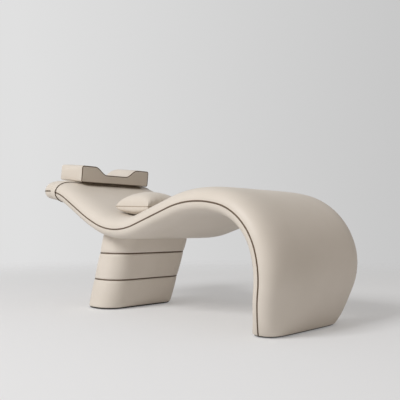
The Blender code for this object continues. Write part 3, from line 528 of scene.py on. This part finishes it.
def zinc_plate():
    """Zinc-plated steel bolt: bluish grey metal with cloudy dull patches."""
    mat, tree, out = new_material("zinc_plated_steel")
    coord = node(tree, "ShaderNodeTexCoord").outputs["Object"]
    cloud = node(tree, "ShaderNodeTexNoise", {
        "Vector": coord, "Scale": MM / ZINC_CLOUD_MM, "Detail": 4.0})
    colour = node(tree, "ShaderNodeMix", {
        "Factor": cloud.outputs["Fac"], "A": srgb("9aa0a6"), "B": srgb("c3c7ca")}, data_type="RGBA")
    gloss = node(tree, "ShaderNodeMapRange", {
        "Value": cloud.outputs["Fac"], "To Min": 0.28, "To Max": 0.5})
    face = node(tree, "ShaderNodeBsdfPrincipled", {
        "Base Color": colour.outputs["Result"], "Metallic": 1.0, "Roughness": gloss.outputs[0]})
    tree.links.new(face.outputs[0], out.inputs[0])
    return mat


# The pebble of the leather is about 1 mm; it is drawn at 2.2 mm so that it shows at all.
CREAM = leatherette("cream_pu_leather", "dcd4ca", "d6cec3", 2.2, 0.46, 0.16)
BROWN = leatherette("brown_pu_piping", "6b5a49", "5c4d3e", 1.6, 0.44, 0.2)
TAN = leatherette("tan_pu_welt", "a08c76", "927f6a", 1.6, 0.46, 0.2)
PLYWOOD = board("birch_plywood", "c9a877", "b18f60", 9.0, 0.6, (0.08, 0.35, 1.0))
# Dark stained board under the foot and the pedestal; its very dark colour is also painted shade, standing for the
# contact shadow along the bed's base.
DARK_BOARD_AND_SHADE = board("dark_stained_board", "352d25", "231d18", 6.0, 0.55, (1.0, 0.07, 1.0))
PLASTIC = moulded_plastic()
ZINC = zinc_plate()
NODE_FINISH = {
    "plywood": PLYWOOD,
    "dark_board": DARK_BOARD_AND_SHADE,
    "black_plastic": PLASTIC,
    "zinc_steel": ZINC,
}


def dress(piece, mat, slot, body, *nodes):
    """Gives a new piece its material and the body it moves with, and hides the nodes it stands for; slot is not
    used.
    """
    piece.data.materials.clear()
    piece.data.materials.append(mat)
    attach(piece, body)
    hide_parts(*nodes)
    return piece


def finish_nodes():
    """Better materials on the solids that stay: boards, plywood, glides and bolts."""
    for part in frame["record"]["subparts"]:
        finish = NODE_FINISH.get(part["material_slot"])
        if finish is not None:
            piece = frame["nodes"][part["node"]]
            piece.data.materials.clear()
            piece.data.materials.append(finish)


# Bed.

def frame_side(s, y, level, depth):
    """Inner skin of a pad: flat at the piping level, stepped to a channel where the frame lies."""
    channel = FRAME_HALF + FRAME_ROOM
    n = np.full(np.broadcast_shapes(s.shape, y.shape), level)
    y = np.broadcast_to(y, n.shape).copy()
    boxed = np.broadcast_to(s <= FRAME_END + FRAME_ROOM, n.shape)
    within = boxed & (np.abs(y) < channel)
    n = np.where(within, depth, n)
    wall = boxed & (np.abs(y) >= channel)
    inner_step = within & ~np.roll(within, 1, axis=1)
    outer_step = within & ~np.roll(within, -1, axis=1)
    y[inner_step] = channel
    y[outer_step] = -channel
    before = wall & np.roll(within, -1, axis=1)
    after = wall & np.roll(within, 1, axis=1)
    y[before] = channel
    y[after] = -channel
    return y, n


def bed_pad(name, power, reach, side, depth, nodes):
    """Pad with a superellipse section carried along the side path, over a channel for the frame."""
    f, g = section_shares(power, BED_WIDTH / 2, reach, PAD_STEPS_ACROSS)
    s = bed_stations(PAD_STEP)
    end = np.searchsorted(s, FRAME_END)
    wall = [FRAME_END + FRAME_ROOM, FRAME_END + 2 * FRAME_ROOM]
    s = np.concatenate([s[:end], wall, s[end + 1:]])[:, None]
    half = half_width(s)
    rise = (reach - EDGE - foot_roll(s)) * nose_scale(s)
    outer = bed_point(s, half * f[None], side * (EDGE + rise * g[None]))
    y, n = frame_side(s, half * f[None], side * PAD_SPLIT, side * (depth + FRAME_ROOM))
    inner = bed_point(s, y, n)
    piece = make_piece(name, *two_skins(outer, inner))
    dress(piece, CREAM, "cream_leather", "bed_body", *nodes)
    return piece


def side_cord(name, side):
    """Piping in the side seam, from the floor, round the head's corner to the middle of its end."""
    s = bed_stations(CORD_STEP)
    s = s[s <= NOSE_START]
    centres = bed_point(s, side * half_width(s, PIPING_SINK), 0.0)
    outs = np.tile([0.0, side, 0.0], (len(s), 1))
    radius = HEAD_NOSE - PIPING_SINK
    angle = np.linspace(0.0, np.pi / 2, 14)[1:]
    bow = NOSE_START + radius * np.sin(angle)
    y = BED_WIDTH / 2 - HEAD_NOSE + radius * np.cos(angle)
    round_points = bed_point(bow, side * y, 0.0)
    along = unit(round_points - bed_point(bow - PAD_STEP, side * y, 0.0))
    round_outs = np.cos(angle)[:, None] * np.array([0.0, side, 0.0]) + np.sin(angle)[:, None] * along
    across = np.linspace(y[-1], FIT / 2, 12)[1:]
    end_points = bed_point(np.full(len(across), bow[-1]), side * across, 0.0)
    centres = np.concatenate([centres, round_points, end_points])
    outs = np.concatenate([outs, round_outs, np.tile(round_outs[-1], (len(across), 1))])
    stations = np.concatenate([s, bow, np.full(len(across), bow[-1])])
    piece = make_piece(name, *tube(centres, outs, path_normal(stations), PIPING_RADIUS, 14))
    return dress(piece, BROWN, "brown_piping", "bed_body", name.replace("_cord", "_piping"))


# Pedestal.

low_corner, high_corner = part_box("plinth")
AXIS_X = (low_corner[0] + high_corner[0]) / 2
AXIS_Z = (low_corner[2] + high_corner[2]) / 2


def column_round(corner_steps, long_steps, short_steps):
    """Signs and angle round a rounded rectangle: quarter turns joined by straight sides."""
    signs = ((1, 1), (-1, 1), (-1, -1), (1, -1))
    rows = []
    for k, (sx, sy) in enumerate(signs):
        angle = np.pi / 2 * (k + np.linspace(0.0, 1.0, corner_steps + 1))
        rows.append(np.stack([np.full_like(angle, sx), np.full_like(angle, sy), angle], -1))
        nx, ny = signs[(k + 1) % 4]
        share = np.linspace(0.0, 1.0, (short_steps if k % 2 == 0 else long_steps) + 1)[1:-1]
        straight = [sx + (nx - sx) * share, sy + (ny - sy) * share, np.full_like(share, angle[-1])]
        rows.append(np.stack(straight, -1))
    return np.concatenate(rows)


COLUMN = column_round(corner_steps=14, long_steps=24, short_steps=8)


def column_point(z, inset, corner=COLUMN):
    """Point of the leaning column's outline at height z, drawn in by the inset."""
    half_x = PEDESTAL_LENGTH / 2 + PEDESTAL_FLARE_LENGTH * z - PEDESTAL_CORNER
    half_y = PEDESTAL_WIDTH / 2 + PEDESTAL_FLARE_WIDTH * z - PEDESTAL_CORNER
    radius = PEDESTAL_CORNER - inset
    axis = AXIS_X + (z - AXIS_Z) * math.tan(math.radians(PEDESTAL_LEAN))
    x = axis + corner[:, 0] * half_x + radius * np.cos(corner[:, 2])
    y = corner[:, 1] * half_y + radius * np.sin(corner[:, 2])
    x, y, z = np.broadcast_arrays(x, y, z)
    return np.stack([x, y, z], -1)


def column_top(inset):
    """Height where the column's outline meets the underside, found by going back and forth."""
    s = np.linspace(SEAT_LOW - BELLY_AHEAD, PATH_LENGTH - BELLY_SHORT, 800)
    belly = bed_point(s, 0.0, -BELLY_DEPTH)[::-1]
    z = np.full(len(COLUMN), belly[:, 2].min())
    for _ in range(12):
        x = column_point(z, inset)[:, 0]
        z = np.interp(x, belly[:, 0], belly[:, 2]) - PEDESTAL_GAP
    return z


def band(name, low, top):
    """Padded band: rounded at its edges and a little crowned, carried round the column."""
    turn = np.linspace(0.0, np.pi / 2, 7)
    edge = BAND_ROUND * (1.0 - np.cos(turn))
    fall = BAND_EDGE * (1.0 - np.sin(turn))
    flat = np.linspace(0.0, 1.0, 14)[1:-1]
    span = np.min(top(BAND_EDGE)) - low
    room = 1.0 - 2.0 * BAND_ROUND / span
    outer = [(h / span, inset) for h, inset in zip(edge, fall)]
    outer += [(BAND_ROUND / span + room * v, 0.0) for v in flat]
    outer += [(1.0 - h / span, inset) for h, inset in zip(edge[::-1], fall[::-1])]
    rows, backs = [], []
    for v, inset in outer:
        inset = inset - BAND_CROWN * (1.0 - (2.0 * v - 1.0) ** 2)
        rows.append(column_point(low + v * (top(inset) - low), inset))
        backs.append(column_point(low + v * (top(BAND_PADDING) - low), BAND_PADDING))
    piece = make_piece(name + "_pad", *two_skins(np.array(rows), np.array(backs), ring=True))
    dress(piece, CREAM, "cream_leather", "bed_body", name)
    return piece


def level_top(height):
    """Top of a band that ends level, whatever its inset."""
    return lambda inset: np.full(len(COLUMN), height)


def groove_cord(name, height):
    """Dark cord lying in the groove between two bands."""
    centres = column_point(height, BAND_EDGE)
    outs = np.stack([np.cos(COLUMN[:, 2]), np.sin(COLUMN[:, 2]), np.zeros(len(COLUMN))], -1)
    ups = np.tile([0.0, 0.0, 1.0], (len(COLUMN), 1))
    cord = tube(centres, outs, ups, TRIM_RADIUS, 12, closed=True)
    piece = make_piece(name.replace("trim", "cord"), *cord)
    return dress(piece, BROWN, "brown_piping", "bed_body", name)


def pedestal():
    """Three bands and the two cords between them."""
    half = TRIM_RADIUS + FIT
    band("lower_band", PLINTH_TOP + FIT, level_top(LOWER_GROOVE - half))
    band("middle_band", LOWER_GROOVE + half, level_top(UPPER_GROOVE - half))
    band("upper_band", UPPER_GROOVE + half, column_top)
    groove_cord("lower_trim", LOWER_GROOVE)
    groove_cord("upper_trim", UPPER_GROOVE)


# Head sleeve and pillow.

def sleeve_loop(out):
    """Closed loop round the bed at a distance out from its covers, as y and n."""
    half = BED_WIDTH / 2 + SLEEVE_SIDE - SLEEVE_ROOM + out
    f, g = section_shares(CROWN_POWER, half, CROWN_HEIGHT, 60)
    p, q = section_shares(BELLY_POWER, half, BELLY_DEPTH, 40)
    y = np.concatenate([half * f, half * p[-2:0:-1]])
    n = np.concatenate([(CROWN_HEIGHT + out) * g, -(BELLY_DEPTH + out) * q[-2:0:-1]])
    return y, n


def sleeve_front(y, n):
    """Distance of the front edge from the head end; it runs forward under the pillow and the bed."""
    flare = SLEEVE_FLARE * ease((SLEEVE_FLARE_WIDTH / 2 - np.abs(y)) / SLEEVE_FLARE_RUN)
    under = SLEEVE_UNDER * np.clip(-n / BELLY_DEPTH, 0.0, 1.0)
    return SLEEVE_FRONT + np.where(n > 0.0, flare, under)


def head_sleeve():
    """Leather sleeve stretched round the head end, carried between its back and front edges."""
    plan_y, _ = sleeve_loop(SLEEVE_OUT)
    skins = []
    share = np.linspace(0.0, 1.0, 17)[:, None]
    for out in (SLEEVE_OUT, SLEEVE_ROOM):
        y, n = sleeve_loop(out)
        front = sleeve_front(plan_y, n)
        d = SLEEVE_BACK + (front - SLEEVE_BACK) * share
        skins.append(bed_point(PATH_LENGTH - d, y[None], n[None]))
    piece = make_piece("head_sleeve", *two_skins(skins[0], skins[1], ring=True))
    dress(piece, CREAM, "cream_leather", "pillow_body", "head_band")
    sleeve_cord()
    return piece


def sleeve_cord():
    """Thin dark edge binding along the sleeve's front."""
    middle = SLEEVE_ROOM + SLEEVE_THICKNESS / 2 + 2 * FIT
    y, n = sleeve_loop(middle)
    inner_y, inner_n = sleeve_loop(middle - SLEEVE_TRIM_RADIUS)
    plan_y, _ = sleeve_loop(SLEEVE_OUT)
    s = PATH_LENGTH - sleeve_front(plan_y, n) - SLEEVE_TRIM_RADIUS - FIT
    centres = bed_point(s, y, n)
    outs = unit(centres - bed_point(s, inner_y, inner_n))
    ups = unit(bed_point(s + NUDGE, y, n) - centres)
    piece = make_piece("sleeve_cord", *tube(centres, outs, ups, SLEEVE_TRIM_RADIUS, 10, closed=True))
    return dress(piece, BROWN, "brown_piping", "pillow_body", "band_trim")


def pillow_outline():
    """Pillow's front outline as y and z: rounded corners and a neck recess of two half cosines."""
    half = PILLOW_WIDTH / 2 - PILLOW_CORNER
    low = np.linspace(-np.pi / 2, 0.0, PILLOW_CORNER_STEPS + 1)
    high = low + np.pi / 2
    t = np.linspace(0.0, 1.0, RECESS_STEPS + 1)
    y = [half + PILLOW_CORNER * np.cos(low), half + PILLOW_CORNER * np.cos(high)]
    z = [PILLOW_CORNER * (1.0 + np.sin(low)), PILLOW_HEIGHT - PILLOW_CORNER * (1.0 - np.sin(high))]
    y.append(RECESS_TOP_WIDTH / 2 + (RECESS_FLOOR_WIDTH - RECESS_TOP_WIDTH) / 2 * t)
    z.append(PILLOW_HEIGHT - RECESS_DEPTH * (1.0 - np.cos(np.pi * t)) / 2)
    y, z = np.concatenate(y), np.concatenate(z)
    y, z = np.concatenate([y, -y[::-1]]), np.concatenate([z, z[::-1]])
    return y, z


def even_loop(y, z, step):
    """The closed outline with points about a step apart, its corners kept."""
    gap = np.hypot(np.roll(y, -1) - y, np.roll(z, -1) - z)
    place = np.concatenate([[0.0], np.cumsum(gap)])
    extra = np.linspace(0.0, place[-1], int(place[-1] / step))[:-1]
    at = np.unique(np.round(np.concatenate([place[:-1], extra]), 5))
    keep = np.concatenate([[True], np.diff(at) > 0.2 * step])
    at = at[keep]
    return np.interp(at, place, np.append(y, y[0])), np.interp(at, place, np.append(z, z[0]))


def loop_normals(y, z):
    """Outward unit normals of an anticlockwise loop, from the points on either side."""
    ty = np.roll(y, -1) - np.roll(y, 1)
    tz = np.roll(z, -1) - np.roll(z, 1)
    size = np.hypot(ty, tz)
    return tz / size, -ty / size


def pillow_pose(points):
    """Moves points from the pillow's own frame (x forward, z up) to where it rests on the sleeve."""
    pitch = math.radians(PILLOW_PITCH)
    reach = SLEEVE_TOP + FIT - PILLOW_SETTLE
    up = np.array([math.sin(pitch), 0.0, math.cos(pitch)])
    forward = np.array([math.cos(pitch), 0.0, -math.sin(pitch)])
    start = HEAD_CENTRE + reach * up + PILLOW_REACH * forward
    across = np.array([0.0, 1.0, 0.0])
    return start + points @ np.stack([forward, across, up])


def pillow_hollow(x):
    """Height of the sleeve's arc above the settled pillow's underside, at x in the pillow's own frame."""
    ahead = PILLOW_REACH + x
    top = SLEEVE_TOP + 2 * FIT
    return np.maximum(0.0, np.sqrt(top * top - ahead * ahead) - top + PILLOW_SETTLE + FIT)


def head_pillow():
    """Firm block with a neck recess: the outline carried back, edges rounded, faces blown full."""
    y, z = even_loop(*pillow_outline(), PILLOW_STEP)
    ny, nz = loop_normals(y, z)
    turn = np.linspace(0.0, np.pi / 2, 6)
    sides = np.linspace(PILLOW_FRONT_ROUND, PILLOW_DEPTH - PILLOW_BACK_ROUND, 20)[1:-1]
    depth = [PILLOW_FRONT_ROUND * (1.0 - np.cos(turn)), sides,
             PILLOW_DEPTH - PILLOW_BACK_ROUND * (1.0 - np.sin(turn))]
    inset = [PILLOW_FRONT_ROUND * (1.0 - np.sin(turn)), 0.0 * sides,
             PILLOW_BACK_ROUND * (1.0 - np.cos(turn))]
    depth, inset = np.concatenate(depth)[:, None], np.concatenate(inset)[:, None]
    rows = np.stack(np.broadcast_arrays(-depth, y - inset * ny, z - inset * nz), -1)
    count, cols = rows.shape[:2]
    cap = np.arange(cols)[None]
    faces = [grid_faces(count, cols, False, True), cap[:, ::-1], cap + (count - 1) * cols]
    piece = make_piece("head_pillow", rows, faces)
    remesh(piece, PILLOW_CELL)
    co = points_of(piece.data)
    near_front = np.abs(co[:, 0] + PILLOW_CORD_BACK) < PILLOW_SEAM_REACH
    gap = np.min(np.hypot(co[:, 1:2] - y[None], co[:, 2:] - z[None]), axis=1)
    pinned = (near_front & (gap < PILLOW_SEAM_REACH)) | (co[:, 2] < PILLOW_SETTLE)
    inflate(piece, PILLOW_SWELL, PILLOW_PRESSURE, pinned)
    co = points_of(piece.data)
    co[:, 2] = np.maximum(co[:, 2], pillow_hollow(co[:, 0]))
    set_points(piece, pillow_pose(co))
    subdivide(piece)
    dress(piece, CREAM, "cream_leather", "pillow_body", "pillow")
    return piece


def pillow_cord():
    """Piping round the pillow's front face."""
    y, z = even_loop(*pillow_outline(), CORD_STEP)
    ny, nz = loop_normals(y, z)
    zero = np.zeros_like(y)
    outs = np.stack([zero, ny, nz], -1)
    centres = np.stack([zero - PILLOW_CORD_BACK, y, z], -1) - PILLOW_CORD_SINK * outs
    ups = np.tile([1.0, 0.0, 0.0], (len(y), 1))
    points, faces = tube(centres, outs, ups, PILLOW_CORD_RADIUS, 10, closed=True)
    piece = make_piece("pillow_cord", pillow_pose(points), faces)
    return dress(piece, BROWN, "brown_piping", "pillow_body", "pillow_piping")


# Loose cushion.

def seat_arc(points):
    """Centre of the seat's arc, way from it to each point, and radius of the crowned top there."""
    x, z, _, out_x, out_z = side_frame(SEAT_LOW)
    centre = np.array([x + SEAT_RADIUS * out_x, z + SEAT_RADIUS * out_z])
    share = np.clip(np.abs(points[..., 1]) / (BED_WIDTH / 2), 0.0, 1.0)
    top = EDGE + (CROWN_HEIGHT - EDGE) * np.sqrt(1.0 - share ** CROWN_POWER)
    return centre, points[..., (0, 2)] - centre, SEAT_RADIUS - top


def seat_room(points):
    """Lifts points that would lie in the seat along the way to the centre of its arc."""
    centre, away, top = seat_arc(points)
    scale = np.minimum(1.0, (top - 2 * FIT) / np.linalg.norm(away, axis=1))
    lifted = points.copy()
    lifted[:, (0, 2)] = centre + away * scale[:, None]
    return lifted


def seam_pucker(depth, place):
    """Pull of the seam's stitches: waves of uneven pitch along the seam that die out away from it."""
    drift = CUSHION_PUCKER_SWAY * np.sin(2.0 * np.pi * place / CUSHION_PUCKER_DRIFT)
    wave = np.sin(2.0 * np.pi * place / CUSHION_PUCKER_PITCH + drift)
    return CUSHION_PUCKER * (0.5 + 0.5 * wave) * np.exp(-depth / CUSHION_PUCKER_REACH)


def cushion_skins():
    """Two crowned skins on one seam whose sides draw in between the corners, and their middle and up."""
    t = np.linspace(-1.0, 1.0, CUSHION_CELLS + 1)
    t = np.sin(np.pi / 2 * ((1.0 - CUSHION_CROWD) * t + CUSHION_CROWD * np.sin(np.pi / 2 * t)))
    t /= t[-1]
    u, v = np.meshgrid(t, t, indexing="ij")
    half = CUSHION_SIZE / 2
    x = half * u * (1.0 - CUSHION_DRAW * (1.0 - v * v))
    y = half * v * (1.0 - CUSHION_DRAW * (1.0 - u * u))
    full = np.maximum(0.0, (1.0 - u * u) * (1.0 - v * v))
    pull_x = np.sign(u) * seam_pucker(half * (1.0 - np.abs(u)), y) * (1.0 - v ** 4)
    pull_y = np.sign(v) * seam_pucker(half * (1.0 - np.abs(v)), x) * (1.0 - u ** 4)
    s = SEAT_LOW + CUSHION_ALONG
    up = path_normal(s)
    along = np.array([up[2], 0.0, -up[0]])
    middle = bed_point(s, CUSHION_ASIDE, CROWN_HEIGHT) + up * CUSHION_DOWN
    across = np.array([0.0, 1.0, 0.0])
    plane = (x - pull_x)[..., None] * along + (y - pull_y)[..., None] * across + middle
    _, away, seat = seat_arc(plane - (CUSHION_DOWN * full ** CUSHION_UNDER_POWER)[..., None] * up)
    lift = (np.max(np.linalg.norm(away, axis=-1) - seat) + FIT) * up
    plane += lift
    top = plane + (CUSHION_START * CUSHION_UP * full ** CUSHION_FULL)[..., None] * up
    low = plane - (CUSHION_UNDER_START * CUSHION_DOWN * full ** CUSHION_UNDER_FULL)[..., None] * up
    return top, low, middle + lift, up


def sewn_case(top, low):
    """Points and faces of two grids joined along their rims, and the seam's point numbers."""
    size = len(top)
    number = np.arange(size * size).reshape(size, size)
    below = number.copy()
    below[1:-1, 1:-1] = np.arange((size - 2) ** 2).reshape(size - 2, size - 2) + size * size
    points = np.concatenate([top.reshape(-1, 3), low[1:-1, 1:-1].reshape(-1, 3)])
    cells = grid_faces(size, size)
    return points, [cells, below.ravel()[cells][:, ::-1]], rim_loop(number)


def cushion_cord(seam, middle, up):
    """Thin welt: a circle carried along the seam."""
    outs = unit(np.cross(np.roll(seam, -1, axis=0) - np.roll(seam, 1, axis=0), up))
    outs *= np.sign(np.sum(outs * (seam - middle), axis=1, keepdims=True))
    ups = np.tile(up, (len(seam), 1))
    centres = seam + CUSHION_CORD_OUT * outs
    piece = make_piece("cushion_cord", *tube(centres, outs, ups, CUSHION_CORD_RADIUS, 8, closed=True))
    return dress(piece, TAN, "brown_piping", "cushion_body")


def loose_cushion():
    """Square knife-edge cushion: two skins sewn on one seam and blown full, with a welt."""
    top, low, middle, up = cushion_skins()
    points, faces, loop = sewn_case(top, low)
    piece = make_piece("loose_cushion", points, faces)
    rim = np.zeros(len(points), bool)
    rim[loop] = True
    inflate(piece, CUSHION_SWELL, CUSHION_PRESSURE, rim)
    settled = seat_room(points_of(piece.data))
    set_points(piece, settled)
    subdivide(piece)
    dress(piece, CREAM, "cream_leather", "cushion_body", "throw_cushion")
    cushion_cord(settled[loop], middle, up)
    return piece


# Stage, light and camera.

BACK_LEFT = "e0e0e0"
BACK_RIGHT = "c8c8c8"
FLOOR_PAPER = "eff0f2"
FLOOR_GLOW = "dedede"
FLOOR_LIFT = 0.27
SKY_LOW = "d2bea8"
SKY_HIGH = "ffffff"
AMBIENT = 0.471
KEY_POWER = 467.0
KEY_PLACE = (-0.15, -7.0, 5.26)
KEY_SIZE = 2.9
KEY_AIM = (0.0, 0.0, 0.4)
CAMERA_PLACE = (2.2058, -2.1123, 0.4573)
CAMERA_TURN = (93.07, 0.0, 44.55)
CAMERA_LENS = 49.33
CAMERA_SENSOR = 36.0
FLOOR_RADIUS = 9.0
FLOOR_SIDES = 96
FLOOR_FADE = (0.9, 5.5)
BACK_SPAN = (-0.30, 0.34)


def studio_floor():
    """Large pale disc that keeps the shadow and thins out to the backdrop far from the bed."""
    turn = np.arange(FLOOR_SIDES) * 2.0 * np.pi / FLOOR_SIDES
    ring = FLOOR_RADIUS * np.stack([np.cos(turn), np.sin(turn), 0.0 * turn], -1)
    mesh = bpy.data.meshes.new("studio_floor")
    mesh.from_pydata(ring.tolist(), [], [tuple(range(FLOOR_SIDES))])
    floor = bpy.data.objects.new("studio_floor", mesh)
    bpy.context.scene.collection.objects.link(floor)
    mat, tree, out = new_material("matt_paper_floor")
    coord = node(tree, "ShaderNodeTexCoord").outputs["Object"]
    far = node(tree, "ShaderNodeVectorMath", {0: coord}, operation="LENGTH")
    fade = node(tree, "ShaderNodeMapRange", {
        "Value": far.outputs["Value"], "From Min": FLOOR_FADE[0], "From Max": FLOOR_FADE[1]},
        interpolation_type="SMOOTHSTEP")
    paper = node(tree, "ShaderNodeBsdfDiffuse", {"Color": srgb(FLOOR_PAPER)})
    glow = node(tree, "ShaderNodeEmission", {"Color": srgb(FLOOR_GLOW)})
    path = node(tree, "ShaderNodeLightPath")
    share = node(tree, "ShaderNodeMath", {
        0: path.outputs["Is Camera Ray"], 1: FLOOR_LIFT}, operation="MULTIPLY")
    seen = node(tree, "ShaderNodeMixShader", {
        0: share.outputs[0], 1: paper.outputs[0], 2: glow.outputs[0]})
    clear = node(tree, "ShaderNodeBsdfTransparent")
    mix = node(tree, "ShaderNodeMixShader", {
        0: fade.outputs[0], 1: seen.outputs[0], 2: clear.outputs[0]})
    tree.links.new(mix.outputs[0], out.inputs[0])
    mesh.materials.append(mat)


def studio_world():
    """Soft light from all round, warmer and dimmer low down; the backdrop to the eye and in gloss."""
    world = bpy.data.worlds.new("studio")
    bpy.context.scene.world = world
    world.use_nodes = True
    tree = world.node_tree
    tree.nodes.clear()
    out = tree.nodes.new("ShaderNodeOutputWorld")
    way = node(tree, "ShaderNodeTexCoord").outputs["Generated"]
    yaw = math.radians(CAMERA_TURN[2])
    right = (math.cos(yaw), math.sin(yaw), 0.0)
    aside = node(tree, "ShaderNodeVectorMath", {0: way, 1: right}, operation="DOT_PRODUCT")
    share = node(tree, "ShaderNodeMapRange", {
        "Value": aside.outputs["Value"], "From Min": BACK_SPAN[0], "From Max": BACK_SPAN[1]})
    colour = node(tree, "ShaderNodeMix", {
        "Factor": share.outputs[0], "A": srgb(BACK_LEFT), "B": srgb(BACK_RIGHT)}, data_type="RGBA")
    rise = node(tree, "ShaderNodeVectorMath", {0: way, 1: (0.0, 0.0, 1.0)}, operation="DOT_PRODUCT")
    dome = node(tree, "ShaderNodeMix", {
        "Factor": rise.outputs["Value"], "A": srgb(SKY_LOW), "B": srgb(SKY_HIGH)}, data_type="RGBA")
    light = node(tree, "ShaderNodeBackground", {"Color": dome.outputs["Result"], "Strength": AMBIENT})
    shown = node(tree, "ShaderNodeBackground", {"Color": colour.outputs["Result"], "Strength": 1.0})
    path = node(tree, "ShaderNodeLightPath")
    first = node(tree, "ShaderNodeMath", {
        0: path.outputs["Is Camera Ray"], 1: path.outputs["Is Glossy Ray"]}, operation="MAXIMUM")
    seen = node(tree, "ShaderNodeMath", {
        0: first.outputs[0], 1: path.outputs["Is Transmission Ray"]}, operation="MAXIMUM")
    mix = node(tree, "ShaderNodeMixShader", {
        0: seen.outputs[0], 1: light.outputs[0], 2: shown.outputs[0]})
    tree.links.new(mix.outputs[0], out.inputs[0])


def area_light(name, place, aim, size, power):
    """Square soft box at a place, facing a point."""
    data = bpy.data.lights.new(name, "AREA")
    data.shape = "SQUARE"
    data.size = size
    data.energy = power
    lamp = bpy.data.objects.new(name, data)
    back = unit(np.array(place, float) - np.array(aim, float))
    lamp.location = place
    lamp.rotation_euler = (math.acos(back[2]), 0.0, math.atan2(back[0], -back[1]))
    bpy.context.scene.collection.objects.link(lamp)


def studio_camera():
    """Camera at the photograph's place and angle."""
    data = bpy.data.cameras.new("camera")
    data.lens = CAMERA_LENS
    data.sensor_width = CAMERA_SENSOR
    camera = bpy.data.objects.new("camera", data)
    camera.location = CAMERA_PLACE
    camera.rotation_euler = [math.radians(a) for a in CAMERA_TURN]
    bpy.context.scene.collection.objects.link(camera)
    bpy.context.scene.camera = camera


def build():
    """Makes every piece, then the stage."""
    studio_camera()
    bed_pad("bed_top", CROWN_POWER, CROWN_HEIGHT, 1.0, FRAME_ABOVE, ("top_cover", "top_foam"))
    bed_pad("bed_underside", BELLY_POWER, BELLY_DEPTH, -1.0, FRAME_BELOW,
            ("underside_cover", "underside_foam"))
    side_cord("left_cord", -1.0)
    side_cord("right_cord", 1.0)
    pedestal()
    head_sleeve()
    head_pillow()
    pillow_cord()
    loose_cushion()
    finish_nodes()
    studio_floor()
    studio_world()
    area_light("key", KEY_PLACE, KEY_AIM, KEY_SIZE, KEY_POWER)
    bpy.context.scene.view_settings.view_transform = "Standard"


build()
